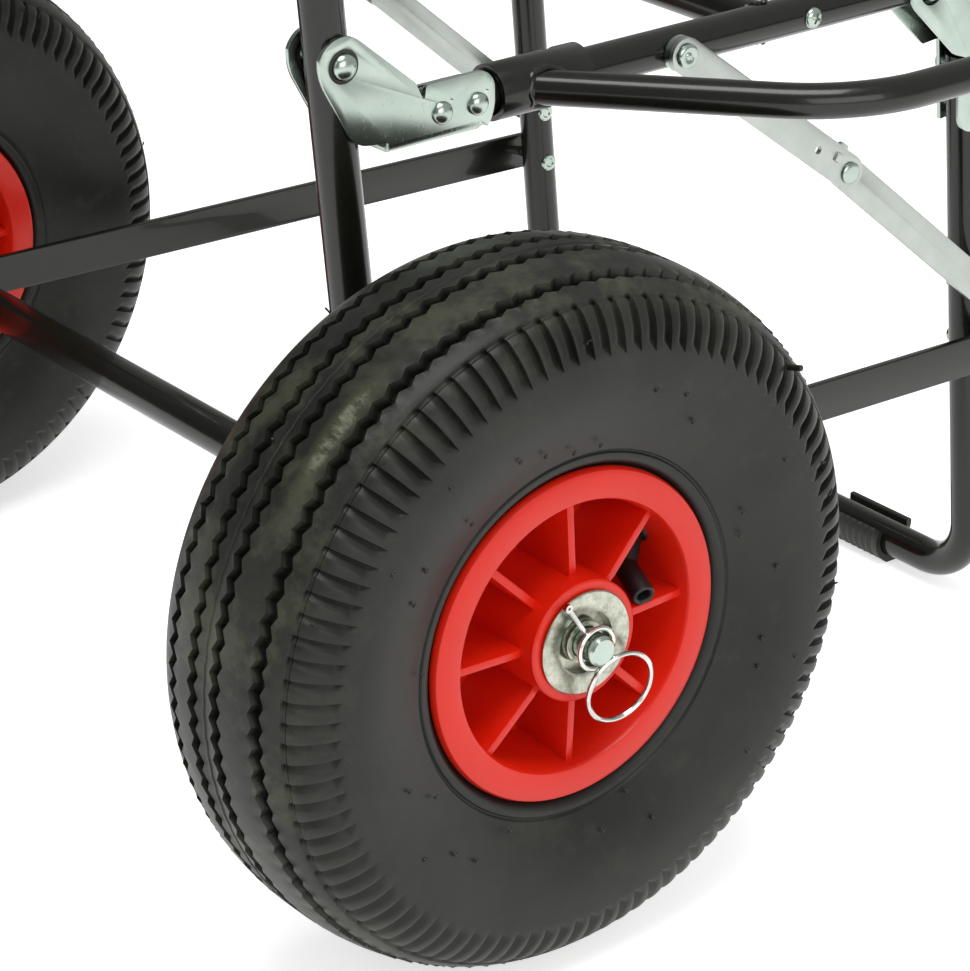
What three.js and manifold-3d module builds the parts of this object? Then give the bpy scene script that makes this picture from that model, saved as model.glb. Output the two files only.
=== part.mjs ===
// Folding trolley for carrying tackle: two pneumatic wheels, a leaning back frame with a grip,
// a platform that folds up against it, a front leg frame, side bars, locking stays and side bows.
// Millimetres. X runs from the axle to the front leg, Y to the left wheel, Z up.
import * as THREE from 'three';
import { mergeVertices } from 'three/addons/utils/BufferGeometryUtils.js';
import Module from 'manifold-3d';

const wasm = await Module();
wasm.setup();

// Gaps and facets
const clearance = 0.3;
const overrun = 20;
const tubeFacets = 12;
const wheelFacets = 28;
const copeFacets = 16;
const ringFacets = 12;
const smallFacets = 8;
const boreFacets = 8;
const clipSteps = 28;
const clipFacets = 6;
const valveFacets = 10;
const arcSteps = 4;
const bendSteps = 4;

// Wheels and axle
const tyreDiameter = 260;
const tyreWidth = 86.4;
const tyreWall = 6;
const tyreCrownExponent = 2.49;
const tyreShoulderDepth = 30.65;
const tyreLip = 1.2;
const tyreBeadShare = 0.7;
const tyreSidewallShare = 0.5;
const treadDegrees = [0, 28, 60];
const liningDegrees = [55, 0];
const wheelOffset = 85;
const rimFlangeDiameter = 122.2;
const rimFlangeHeight = 7;
const rimFlangeThickness = 3.4;
const rimSeatSlope = 1.8;
const rimWidth = 69.6;
const rimWall = 4;
const rimWebThickness = 4;
const rimRibThickness = 3;
const rimRibCount = 8;
const rimRibHubShare = 0.88;
const rimRibEdgeShare = 0.77;
const hubDiameter = 44.4;
const hubLength = 76;
const bearingFlangeDiameter = 38;
const bearingFlangeThickness = 1.2;
const bearingSheet = 1.6;
const bearingCupDiameter = 26;
const bearingCupDepth = 10;
const bearingRingDiameter = 17;
const valveDiameter = 8.4;
const valveHoleAngleDegrees = 24;
const valveThroatShare = 0.5;
const valveBendDistance = 36;
const valveBendAngleDegrees = 16.5;
const valveBendReach = 18;
const valveCapDistance = 31.8;
const valveCapAngleDegrees = 9.3;
const valveCapReach = 32;
const valveRootReach = 12;
const pinDiameter = 10.8;
const pinReach = 48.5;
const pinInsertion = 60;
const pinChamfer = 1;
const axleTubeDiameter = 16;
const axleWasherDiameter = 28;
const axleWasherThickness = 2;
const clipWire = 2;
const clipHoleReach = 43.5;
const clipLegLength = 21.5;
const clipSmallLoopRadius = 7.5;
const clipLargeLoopRadius = 11.5;
const clipLoopRise = 3.4;
const clipAngleDegrees = 122;
const clipRiseSteps = 3;
const clipSmallLoop = { steps: 8, startDegrees: 207, sweepDegrees: 315 };
const clipLargeLoop = { steps: 9, startDegrees: 45, sweepDegrees: 288 };

// Back frame
const tubeSpacing = 282.4;
const tubeWall = 1.2;
const uprightDiameter = 16;
const uprightLeanDegrees = 5.1;
const uprightFootOffset = 1.7;
const handleHeight = 950;
const handleBendRadius = 45;
const backBraceHeight = 715;
const crossTubeDiameter = 15;
const gripLength = 150;
const gripDiameter = 26;

// Platform and its brackets
const platformHeight = 281.3;
const platformFront = 438;
const platformBendRadius = 40;
const platformTubeDiameter = 15;
const crossTubePosition = 186.3;
const screwPosition = 205;
const legPivotPosition = 265.1;
const bracketOffset = 26.5;
const bracketSheet = 1.8;
const bracketLength = 65;
const earRadius = 10.5;
const earRearDegrees = 191;
const earFrontDegrees = 49;
const innerWallStartShare = 0.463;
const innerWallDrop = 21;
const tubeEndSetback = 35.8;
const rivetSetback = 41.3;
const rivetPitch = 15.9;
const rivetDiameter = 5;
const rivetHeadDiameter = 8.6;
const rivetHeadHeight = 2;
const lowHeadHeight = 1;
const kneeHeadDiameter = 6.6;
const barRivetDiameter = 4.7;
const boltDiameter = 6;
const boltHeadDiameter = 11.6;
const boltHeadHeight = 3.6;
const screwHeadDiameter = 7.6;
const screwDiameter = 3.6;

// Side bows, each on two sleeves round a platform tube
const bowTubeDiameter = 13;
const bowReach = 93;
const bowAngleDegrees = 48.7;
const bowBendRadius = 66;
const bowMiddle = 225;
const sleeveDiameter = 20.8;
const sleeveBore = 16.6;
const sleeveLength = 41;
const sleeveRear = 55.2;
const bowRootPosition = 67.7;
const slotWidth = 6.5;
const slotPosition = 84.6;
const slotStartDegrees = 96;
const slotEndDegrees = 292;
const stopPinDiameter = 4;
const stopPinDegrees = 276;

// Front leg frame with its feet
const legSplayDegrees = 4.8;
const legTubeDiameter = 15;
const legBendRadius = 27;
const footClipWall = 2.7;
const footClipLength = 36;
const footClipInset = 46.6;
const footClipLip = 6.6;
const footClipRear = 2.5;
const footClipSole = 7;

// Side bars and locking stays
const barWidth = 16.5;
const barThickness = 3;
const barPivotDrop = 161.5;
const barSleeveDiameter = 21.6;
const barSleeveLength = 11.4;
const stayWidth = 13.6;
const stayThickness = 2.2;
const stayPivotPosition = 138;
const stayPivotDrop = 136.6;
const kneeRise = 3.3;
const stopTabSetback = 10.2;
const stopTabLength = 6;
const stopTabRise = 1.5;
const stopHoleSetback = 21.4;
const stopHoleDiameter = 3.4;

// Places that follow from the sizes above
const axleHeight = tyreDiameter / 2;
const halfSpacing = tubeSpacing / 2;
const halfTrack = halfSpacing + wheelOffset;
const uprightRadius = uprightDiameter / 2;
const platformRadius = platformTubeDiameter / 2;
const legRadius = legTubeDiameter / 2;
const pinRadius = pinDiameter / 2;
const axleRadius = axleTubeDiameter / 2;
const pinBore = pinRadius + clearance;
const pivotBore = boltDiameter + clearance * 2;
const rivetBore = rivetDiameter + clearance * 2;
const hubFace = hubLength / 2 + clearance + bearingFlangeThickness;
const axleEnd = halfTrack - hubFace - axleWasherThickness - clearance - clearance;
const lean = THREE.MathUtils.degToRad(uprightLeanDegrees);
const splay = THREE.MathUtils.degToRad(legSplayDegrees);
const backPivot = new THREE.Vector3(
  uprightFootOffset - Math.tan(lean) * (platformHeight + bracketOffset - axleHeight),
  halfSpacing,
  platformHeight + bracketOffset);
const legPivot = new THREE.Vector3(legPivotPosition, halfSpacing, platformHeight);
const legDown = new THREE.Vector3(Math.sin(splay), 0, -Math.cos(splay));
const legAhead = new THREE.Vector3(Math.cos(splay), 0, Math.sin(splay));
const footBarHeight = legRadius + clearance + footClipWall;
const footDrop = (platformHeight + bracketOffset * Math.sin(splay) - footBarHeight) / Math.cos(splay);
const bracketGap = uprightRadius + clearance;
const bracketOuter = bracketGap + bracketSheet;
const bracketDepth = bracketOffset + platformRadius + clearance + bracketSheet;
const lowerStayInner = legRadius + clearance;
const lowerStayOuter = lowerStayInner + stayThickness;
const upperStayInner = lowerStayOuter + clearance;
const upperStayOuter = upperStayInner + stayThickness;
const barInner = upperStayOuter + clearance;
const barOuter = barInner + barThickness;
const barPivot = onLeg(barPivotDrop);
const stayFoot = onLeg(stayPivotDrop);
const stayTop = new THREE.Vector3(stayPivotPosition, halfSpacing, platformHeight);
const knee = kneePoint(stayTop, stayFoot, kneeRise);
const frontEdge = platformFront + platformRadius;
const middleX = (frontEdge - tyreDiameter / 2) / 2;

const steelBlack = { color: 0x1c1b1a, roughness: 0.3, metalness: 0 };
const zinc = { color: 0xc4ccc8, roughness: 0.3, metalness: 0.9 };
const redPlastic = { color: 0xd8321f, roughness: 0.4, metalness: 0 };
const tyreRubber = { color: 0x2b2b2a, roughness: 0.7, metalness: 0 };
const blackPlastic = { color: 0x22211f, roughness: 0.6, metalness: 0 };
const gripFoam = { color: 0x1a1a1a, roughness: 0.9, metalness: 0 };

// A point on the left leg's centre line, a given way down it from the height of its pivot.
function onLeg(drop) {
  return legPivot.clone().addScaledVector(legAhead, bracketOffset).addScaledVector(legDown, drop);
}

// The middle pivot of a stay, raised a little above the line between its two ends.
function kneePoint(top, foot, rise) {
  const along = foot.clone().sub(top).normalize();
  const above = new THREE.Vector3(-along.z, 0, along.x);
  return top.clone().add(foot).divideScalar(2).addScaledVector(above, rise);
}

// Closed meshes and solids
function plainMesh(geometry) {
  const bare = geometry.clone();
  bare.deleteAttribute('normal');
  bare.deleteAttribute('uv');
  return facingOut(mergeVertices(bare));
}

function signedVolume(geometry) {
  const corner = [new THREE.Vector3(), new THREE.Vector3(), new THREE.Vector3()];
  let sum = 0;
  for (let i = 0; i < geometry.index.count; i += 3) {
    corner.forEach((point, k) => {
      point.fromBufferAttribute(geometry.attributes.position, geometry.index.getX(i + k));
    });
    sum += corner[0].dot(corner[1].clone().cross(corner[2]));
  }
  return sum;
}

function facingOut(geometry) {
  if (signedVolume(geometry) < 0) {
    const turned = Array.from(geometry.index.array);
    for (let i = 0; i < turned.length; i += 3) {
      [turned[i], turned[i + 1]] = [turned[i + 1], turned[i]];
    }
    geometry.setIndex(turned);
  }
  return geometry;
}

function solid(geometry) {
  const closed = plainMesh(geometry);
  return new wasm.Manifold(new wasm.Mesh({
    numProp: 3,
    vertProperties: closed.attributes.position.array,
    triVerts: Uint32Array.from(closed.index.array),
  }));
}

function geometryOf(body) {
  const mesh = body.getMesh();
  const geometry = new THREE.BufferGeometry();
  geometry.setAttribute('position', new THREE.BufferAttribute(mesh.vertProperties, 3));
  geometry.setIndex(new THREE.BufferAttribute(mesh.triVerts, 1));
  return geometry;
}

function cut(geometry, ...tools) {
  return geometryOf(tools.reduce((rest, tool) => rest.subtract(solid(tool)), solid(geometry)));
}

function join(geometry, ...others) {
  return geometryOf(others.reduce((sum, other) => sum.add(solid(other)), solid(geometry)));
}

function mirrored(geometry) {
  return facingOut(plainMesh(geometry).scale(1, -1, 1));
}

// Shapes
// A route of straight runs with round bends at its inner corners, ringed only where it needs it.
class BentRoute extends THREE.Curve {
  constructor(corners, bendRadius) {
    super();
    this.rings = [];
    corners.forEach((corner, i) => {
      const before = corners[i - 1];
      const after = corners[i + 1];
      const arriving = before && corner.clone().sub(before).normalize();
      const leaving = after && after.clone().sub(corner).normalize();
      if (before && after) {
        this.addBend(corner, arriving, leaving, bendRadius);
      } else {
        this.rings.push({ point: corner, tangent: arriving || leaving });
      }
    });
  }

  addBend(corner, arriving, leaving, radius) {
    const angle = arriving.angleTo(leaving);
    const start = corner.clone().addScaledVector(arriving, -radius * Math.tan(angle / 2));
    const inward = leaving.clone().addScaledVector(arriving, -arriving.dot(leaving)).normalize();
    const steps = Math.max(2, Math.round(bendSteps * angle / (Math.PI / 2)));
    for (let k = 0; k <= steps; k += 1) {
      const turn = angle * k / steps;
      const point = start.clone()
        .addScaledVector(arriving, radius * Math.sin(turn))
        .addScaledVector(inward, radius * (1 - Math.cos(turn)));
      const tangent = arriving.clone().multiplyScalar(Math.cos(turn))
        .addScaledVector(inward, Math.sin(turn));
      this.rings.push({ point, tangent });
    }
  }

  get steps() {
    return this.rings.length - 1;
  }

  getPointAt(u) {
    return this.rings[Math.round(u * this.steps)].point.clone();
  }

  getTangentAt(u) {
    return this.rings[Math.round(u * this.steps)].tangent.clone();
  }
}

function bentTube(corners, diameter, bendRadius) {
  const route = new BentRoute(corners, bendRadius);
  const section = new THREE.Shape().absarc(0, 0, diameter / 2, 0, Math.PI * 2);
  section.holes.push(new THREE.Path().absarc(0, 0, diameter / 2 - tubeWall, 0, Math.PI * 2, true));
  return new THREE.ExtrudeGeometry(section, {
    steps: route.steps, curveSegments: tubeFacets / 2, extrudePath: route,
  });
}

function rod(from, to, diameter, facets) {
  const along = to.clone().sub(from);
  const geometry = new THREE.CylinderGeometry(diameter / 2, diameter / 2, along.length(), facets);
  geometry.applyQuaternion(
    new THREE.Quaternion().setFromUnitVectors(new THREE.Vector3(0, 1, 0), along.clone().normalize()));
  const middle = from.clone().add(to).divideScalar(2);
  return geometry.translate(middle.x, middle.y, middle.z);
}

// A turned piece on an axis along Y: its profile is a list of [radius, place along the axis].
function turned(profile, facets, x, z) {
  const touchesAxis = profile[0][0] === 0;
  const closed = touchesAxis ? profile : [...profile, profile[0]];
  const points = closed.map(([radius, along]) => new THREE.Vector2(radius, along));
  return new THREE.LatheGeometry(points, facets).translate(x, 0, z);
}

function ring(innerRadius, outerRadius, from, to) {
  return [[innerRadius, from], [outerRadius, from], [outerRadius, to], [innerRadius, to]];
}

// A flat plate from an outline in X and Z, between two planes across Y.
function plate(shape, from, to) {
  const geometry = new THREE.ExtrudeGeometry(shape, {
    depth: to - from, bevelEnabled: false, curveSegments: arcSteps,
  });
  return geometry.rotateX(Math.PI / 2).translate(0, to, 0);
}

function block(x0, x1, y0, y1, z0, z1) {
  const geometry = new THREE.BoxGeometry(x1 - x0, y1 - y0, z1 - z0);
  return geometry.translate((x0 + x1) / 2, (y0 + y1) / 2, (z0 + z1) / 2);
}

// A bore along Y.
function boreAcross(place, diameter, from, to) {
  const radius = diameter / 2;
  return turned([[0, from], [radius, from], [radius, to], [0, to]], boreFacets, place.x, place.z);
}

// A pin along Y with a domed head at each end that has one.
function headedPin(place, diameter, from, to, headDiameter, headHeight, tailHeight) {
  const shank = diameter / 2;
  const dome = (base, height) => [
    [headDiameter / 2, base],
    [headDiameter / 2 * Math.cos(Math.PI / 4), base + height * Math.sin(Math.PI / 4)],
    [0, base + height],
  ];
  const tail = tailHeight
    ? [...dome(from, -tailHeight).reverse(), [shank, from]]
    : [[0, from], [shank, from]];
  const head = headHeight ? [[shank, to], ...dome(to, headHeight)] : [[shank, to], [0, to]];
  return turned([...tail, ...head], smallFacets, place.x, place.z);
}

// A flat link with round ends from one pivot to another, with a bore at each end that has one.
function link(from, to, width, inner, outer, bores) {
  const along = to.clone().sub(from);
  const angle = Math.atan2(along.z, along.x);
  const radius = width / 2;
  const shape = new THREE.Shape();
  shape.absarc(from.x, from.z, radius, angle + Math.PI / 2, angle + Math.PI * 3 / 2);
  shape.absarc(to.x, to.z, radius, angle - Math.PI / 2, angle + Math.PI / 2);
  bores.forEach(({ place, diameter }) => {
    shape.holes.push(new THREE.Path().absarc(place.x, place.z, diameter / 2, 0, Math.PI * 2, true));
  });
  return plate(shape, halfSpacing + inner, halfSpacing + outer);
}

const trolley = new THREE.Group();
trolley.position.x = -middleX;

function add(name, look, geometry) {
  const mesh = new THREE.Mesh(plainMesh(geometry), new THREE.MeshStandardMaterial(look));
  mesh.name = name;
  trolley.add(mesh);
}

function addPair(name, look, geometry) {
  add(`${name}_left`, look, geometry);
  add(`${name}_right`, look, mirrored(geometry));
}

// Back frame
function backTube() {
  const up = new THREE.Vector3(-Math.tan(lean), 0, 1);
  const onUpright = (side, height) => new THREE.Vector3(uprightFootOffset, side * halfSpacing, axleHeight)
    .addScaledVector(up, height - axleHeight);
  const foot = axleHeight + axleRadius / 2;
  const corners = [
    onUpright(1, foot), onUpright(1, handleHeight), onUpright(-1, handleHeight), onUpright(-1, foot),
  ];
  const copeRadius = axleRadius + clearance;
  const cope = turned([[0, -axleEnd], [copeRadius, -axleEnd], [copeRadius, axleEnd], [0, axleEnd]],
    copeFacets, 0, axleHeight);
  const across = halfSpacing + uprightRadius + overrun;
  return cut(bentTube(corners, uprightDiameter, handleBendRadius), cope,
    boreAcross(backPivot, pivotBore, -across, across));
}

function backBrace() {
  const x = uprightFootOffset - Math.tan(lean) * (backBraceHeight - axleHeight);
  const up = new THREE.Vector3(-Math.tan(lean), 0, 1).normalize()
    .multiplyScalar(crossTubeDiameter + overrun);
  const end = (side) => new THREE.Vector3(x, side * halfSpacing, backBraceHeight);
  const cope = (side) => rod(end(side).sub(up), end(side).add(up), uprightDiameter + clearance * 2,
    copeFacets);
  return cut(bentTube([end(1), end(-1)], crossTubeDiameter, 0), cope(1), cope(-1));
}

function handleGrip() {
  const x = uprightFootOffset - Math.tan(lean) * (handleHeight - axleHeight);
  const profile = ring(uprightRadius + clearance, gripDiameter / 2, -gripLength / 2, gripLength / 2);
  return turned(profile, tubeFacets, x, handleHeight);
}

function axleTube() {
  return turned(ring(pinBore, axleRadius, -axleEnd, axleEnd), copeFacets, 0, axleHeight);
}

function inWheelPlane(degrees) {
  const angle = THREE.MathUtils.degToRad(degrees);
  return new THREE.Vector3(Math.cos(angle), 0, Math.sin(angle));
}

function axlePin() {
  const start = axleEnd - pinInsertion;
  const end = halfTrack + pinReach;
  const pin = turned([
    [0, start], [pinRadius, start], [pinRadius, end - pinChamfer], [pinRadius - pinChamfer, end], [0, end],
  ], ringFacets, 0, axleHeight);
  const centre = new THREE.Vector3(0, halfTrack + clipHoleReach, axleHeight);
  const reach = inWheelPlane(clipAngleDegrees).multiplyScalar(pinDiameter);
  return cut(pin, rod(centre.clone().sub(reach), centre.clone().add(reach), clipWire + clearance * 2,
    ringFacets));
}

function axleWasher() {
  const face = axleEnd + clearance;
  return turned(ring(pinBore, axleWasherDiameter / 2, face, face + axleWasherThickness), ringFacets, 0,
    axleHeight);
}

// The retaining clip: a straight leg through the pin, a small loop round its end and a large pull loop.
function ringClip() {
  const along = inWheelPlane(clipAngleDegrees);
  const across = inWheelPlane(clipAngleDegrees + 90);
  const base = new THREE.Vector3(0, halfTrack + clipHoleReach, axleHeight);
  const at = (a, b, rise) => base.clone().addScaledVector(along, a).addScaledVector(across, b)
    .add(new THREE.Vector3(0, rise, 0));
  const exit = pinRadius + clipWire / 2;
  const points = [at(clipLegLength, 0, 0), at(exit, 0, 0), at(0, 0, 0), at(-exit, 0, 0)];
  const loop = (centre, radius, { steps, startDegrees, sweepDegrees }, riseAt) => {
    for (let k = 0; k <= steps; k += 1) {
      const turn = THREE.MathUtils.degToRad(startDegrees + sweepDegrees * k / steps);
      points.push(at(centre + radius * Math.cos(turn), radius * Math.sin(turn), riseAt(k)));
    }
  };
  loop(0, clipSmallLoopRadius, clipSmallLoop, (k) => clipLoopRise * Math.min(1, (k + 1) / clipRiseSteps));
  loop(-(clipSmallLoopRadius + clipLargeLoopRadius + clipWire), clipLargeLoopRadius, clipLargeLoop,
    () => clipLoopRise);
  const wire = new THREE.Shape().absarc(0, 0, clipWire / 2, 0, Math.PI * 2);
  return new THREE.ExtrudeGeometry(wire, {
    steps: clipSteps, curveSegments: clipFacets / 2, extrudePath: new THREE.CatmullRomCurve3(points),
  });
}

function pivotBolt() {
  const reach = bracketOuter + clearance;
  return headedPin(backPivot, boltDiameter, halfSpacing - reach, halfSpacing + reach,
    boltHeadDiameter, boltHeadHeight, boltHeadHeight);
}

// Platform
function platformTube() {
  const rear = backPivot.x + tubeEndSetback;
  const corner = (x, side) => new THREE.Vector3(x, side * halfSpacing, platformHeight);
  const corners = [
    corner(rear, 1), corner(platformFront, 1), corner(platformFront, -1), corner(rear, -1),
  ];
  const tube = bentTube(corners, platformTubeDiameter, platformBendRadius);
  const across = halfSpacing + platformRadius + overrun;
  const through = [rivetSetback, rivetSetback + rivetPitch].map((setback) => boreAcross(
    corner(backPivot.x + setback, 1), rivetBore, -across, across));
  through.push(boreAcross(legPivot, pivotBore, -across, across));
  const seats = [
    { place: stayTop, bore: pivotBore },
    { place: corner(screwPosition, 1), bore: screwDiameter + clearance * 2 },
  ].flatMap(({ place, bore }) => [
    boreAcross(place, bore, halfSpacing, across),
    boreAcross(place, bore, -across, -halfSpacing),
  ]);
  const pinAngle = THREE.MathUtils.degToRad(stopPinDegrees);
  const pins = [slotPosition, bowMiddle * 2 - slotPosition].flatMap((x) => [1, -1].map((side) => {
    const out = new THREE.Vector3(0, side * Math.cos(pinAngle), Math.sin(pinAngle));
    const from = corner(x, side).addScaledVector(out, platformRadius - tubeWall);
    const to = corner(x, side).addScaledVector(out, sleeveDiameter / 2);
    return rod(from, to, stopPinDiameter, smallFacets);
  }));
  return join(cut(tube, ...through, ...seats), ...pins);
}

function crossTube() {
  const end = (side) => new THREE.Vector3(crossTubePosition, side * halfSpacing, platformHeight);
  const reach = new THREE.Vector3(crossTubeDiameter + overrun, 0, 0);
  const cope = (side) => rod(end(side).sub(reach), end(side).add(reach),
    platformTubeDiameter + clearance * 2, copeFacets);
  return cut(bentTube([end(1), end(-1)], crossTubeDiameter, 0), cope(1), cope(-1));
}

// Outline of a folding bracket, seen from its side with the pivot at nought: shares of its length
// and depth.
const bracketOutlineShares = [
  [0.463, -0.327], [0.518, -0.507], [0.542, -0.388], [0.882, -0.377], [0.946, -0.413], [0.989, -0.493],
  [1, -0.6], [0.99, -0.88], [0.94, -1], [0.3, -1], [0.275, -0.845], [0.125, -0.82], [0.06, -0.76],
];

// A bracket with its two ears, its web under the tube, a low wall on the tube's inner side and its two
// rivets, along X with the pivot at nought.
function foldingBracket() {
  const shape = new THREE.Shape();
  shape.absarc(0, 0, earRadius, THREE.MathUtils.degToRad(earRearDegrees),
    THREE.MathUtils.degToRad(earFrontDegrees), true);
  bracketOutlineShares.forEach(([x, z]) => shape.lineTo(x * bracketLength, z * bracketDepth));
  shape.closePath();
  const body = plate(shape, -bracketOuter, bracketOuter);
  const between = block(-overrun, bracketLength + overrun, -bracketGap, bracketGap,
    bracketSheet - bracketDepth, earRadius + overrun);
  const overInnerWall = block(bracketLength * innerWallStartShare, bracketLength + overrun,
    -bracketOuter - overrun, 0, -innerWallDrop, earRadius + overrun);
  const bore = boreAcross(new THREE.Vector3(), pivotBore, -overrun, overrun);
  const rivets = [rivetSetback, rivetSetback + rivetPitch].map((x) => headedPin(
    new THREE.Vector3(x, 0, -bracketOffset), rivetDiameter, -bracketOuter, bracketOuter,
    rivetHeadDiameter, rivetHeadHeight, rivetHeadHeight));
  return join(cut(body, between, overInnerWall, bore), ...rivets);
}

function rearBracket() {
  return foldingBracket().translate(backPivot.x, backPivot.y, backPivot.z);
}

// The same bracket on a leg: its length runs down the leg and its depth ahead of the pivot.
function legBracket() {
  const behind = legAhead.clone().negate();
  const placed = new THREE.Matrix4().makeBasis(legDown, new THREE.Vector3(0, 1, 0), behind);
  return facingOut(plainMesh(foldingBracket()).applyMatrix4(placed))
    .translate(legPivot.x, legPivot.y, legPivot.z);
}

function legPivotPin() {
  const reach = bracketOuter + clearance;
  return headedPin(legPivot, boltDiameter, halfSpacing - reach, halfSpacing + reach,
    rivetHeadDiameter, rivetHeadHeight, rivetHeadHeight);
}

// The top pivot of a stay: a rivet with a spacer that keeps the upper link outside the lower one.
function stayRivet() {
  const spacer = turned(ring(boltDiameter / 2 - clearance, stayWidth / 2, halfSpacing + lowerStayInner,
    halfSpacing + lowerStayOuter), smallFacets, stayTop.x, stayTop.z);
  const pin = headedPin(stayTop, boltDiameter, halfSpacing + platformRadius - tubeWall,
    halfSpacing + upperStayOuter + clearance, rivetHeadDiameter, rivetHeadHeight, 0);
  return join(pin, spacer);
}

function tubeScrew() {
  const place = new THREE.Vector3(screwPosition, halfSpacing, platformHeight);
  return headedPin(place, screwDiameter, halfSpacing + platformRadius - tubeWall,
    halfSpacing + platformRadius + clearance, screwHeadDiameter, rivetHeadHeight, 0);
}

// Side bows
function bowTube() {
  const slope = Math.tan(THREE.MathUtils.degToRad(bowAngleDegrees));
  const far = bowMiddle * 2 - bowRootPosition;
  const inset = bowReach / slope;
  const at = (x, out) => new THREE.Vector3(x, halfSpacing + out, platformHeight);
  const corners = [
    at(bowRootPosition, 0), at(bowRootPosition + inset, bowReach), at(far - inset, bowReach), at(far, 0),
  ];
  const cope = rod(at(sleeveRear - overrun, 0), at(bowMiddle * 2 - sleeveRear + overrun, 0),
    sleeveDiameter + clearance * 2, copeFacets);
  return cut(bentTube(corners, bowTubeDiameter, bowBendRadius), cope);
}

// A sleeve that turns on the platform tube, with the slot that runs round it past the stop pin.
function bowSleeve(rear, slotX) {
  const axis = (x) => new THREE.Vector3(x, halfSpacing, platformHeight);
  const outer = rod(axis(rear), axis(rear + sleeveLength), sleeveDiameter, copeFacets);
  const bore = rod(axis(rear - overrun), axis(rear + sleeveLength + overrun), sleeveBore, copeFacets);
  const start = THREE.MathUtils.degToRad(slotStartDegrees);
  const end = THREE.MathUtils.degToRad(slotEndDegrees);
  const fan = new THREE.Shape().moveTo(0, 0);
  fan.absarc(0, 0, sleeveDiameter, start, end);
  const slot = new THREE.ExtrudeGeometry(fan, {
    depth: slotWidth, bevelEnabled: false, curveSegments: ringFacets / 2,
  });
  const placed = new THREE.Matrix4().makeBasis(
    new THREE.Vector3(0, 1, 0), new THREE.Vector3(0, 0, 1), new THREE.Vector3(1, 0, 0));
  slot.applyMatrix4(placed).translate(slotX - slotWidth / 2, halfSpacing, platformHeight);
  return cut(outer, bore, slot);
}

// Front leg frame
function legTube() {
  const side = (point, sign) => new THREE.Vector3(point.x, sign * halfSpacing, point.z);
  const top = onLeg(tubeEndSetback);
  const foot = onLeg(footDrop);
  const tube = bentTube([side(top, 1), side(foot, 1), side(foot, -1), side(top, -1)], legTubeDiameter,
    legBendRadius);
  const across = halfSpacing + legRadius + overrun;
  const through = [rivetSetback, rivetSetback + rivetPitch].map((drop) => boreAcross(
    onLeg(drop), rivetBore, -across, across));
  const seats = [
    boreAcross(stayFoot, pivotBore, halfSpacing, across),
    boreAcross(stayFoot, pivotBore, -across, -halfSpacing),
  ];
  return cut(tube, ...through, ...seats);
}

// A foot clip round the bottom tube: open at the top, with a tall front lip and a flat sole.
function footClip() {
  const foot = onLeg(footDrop);
  const inner = legRadius + clearance;
  const outer = inner + footClipWall;
  const soleAngle = Math.asin(footClipSole / 2 / outer);
  const rearAngle = Math.PI - Math.asin(footClipRear / outer);
  const shape = new THREE.Shape();
  shape.moveTo(foot.x + outer, foot.z + footClipLip);
  shape.lineTo(foot.x + outer, foot.z);
  shape.absarc(foot.x, foot.z, outer, 0, soleAngle - Math.PI / 2, true);
  shape.lineTo(foot.x + footClipSole / 2, foot.z - outer);
  shape.lineTo(foot.x - footClipSole / 2, foot.z - outer);
  shape.absarc(foot.x, foot.z, outer, -soleAngle - Math.PI / 2, rearAngle - Math.PI * 2, true);
  shape.absarc(foot.x, foot.z, inner, rearAngle - Math.PI * 2, 0, false);
  shape.lineTo(foot.x + inner, foot.z + footClipLip);
  shape.closePath();
  const end = halfSpacing - footClipInset;
  return plate(shape, end - footClipLength, end);
}

function stayFootRivet() {
  return headedPin(stayFoot, boltDiameter, halfSpacing + legRadius - tubeWall,
    halfSpacing + lowerStayOuter + clearance, rivetHeadDiameter, lowHeadHeight, 0);
}

// Side bars
function sideBar() {
  const axle = new THREE.Vector3(0, halfSpacing, axleHeight);
  const bar = link(axle, barPivot, barWidth, barInner, barOuter,
    [{ place: barPivot, diameter: barRivetDiameter + clearance * 2 }]);
  const copeRadius = barSleeveDiameter / 2 + clearance;
  const across = halfSpacing + barOuter + overrun;
  const cope = turned([[0, 0], [copeRadius, 0], [copeRadius, across], [0, across]], copeFacets, 0,
    axleHeight);
  const behind = block(-barSleeveDiameter, 0, 0, across,
    axleHeight - barSleeveDiameter, axleHeight + barSleeveDiameter);
  return cut(bar, cope, behind);
}

function barSleeve() {
  const middle = halfSpacing + (barInner + barOuter) / 2;
  return turned(ring(axleRadius + clearance, barSleeveDiameter / 2, middle - barSleeveLength / 2,
    middle + barSleeveLength / 2), copeFacets, 0, axleHeight);
}

function barRivet() {
  return headedPin(barPivot, barRivetDiameter, halfSpacing + lowerStayInner,
    halfSpacing + barOuter + clearance, rivetHeadDiameter, rivetHeadHeight, 0);
}

// Locking stays
// The upper link is the outer one. Its upper edge has a stop tab above the knee, behind it a stop hole.
function upperStay() {
  const along = knee.clone().sub(stayTop).normalize();
  const above = new THREE.Vector3(-along.z, 0, along.x);
  const onLink = (back, rise) => knee.clone().addScaledVector(along, -back).addScaledVector(above, rise);
  const bar = link(stayTop, knee, stayWidth, upperStayInner, upperStayOuter, [
    { place: stayTop, diameter: pivotBore },
    { place: knee, diameter: rivetBore },
    { place: onLink(stopHoleSetback, 0), diameter: stopHoleDiameter },
  ]);
  const tab = new THREE.Shape([
    onLink(stopTabSetback + stopTabLength / 2, 0), onLink(stopTabSetback - stopTabLength / 2, 0),
    onLink(stopTabSetback - stopTabLength / 2, stayWidth / 2 + stopTabRise),
    onLink(stopTabSetback + stopTabLength / 2, stayWidth / 2 + stopTabRise),
  ].map((point) => new THREE.Vector2(point.x, point.z)));
  return join(bar, plate(tab, halfSpacing + upperStayInner, halfSpacing + upperStayOuter));
}

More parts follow.
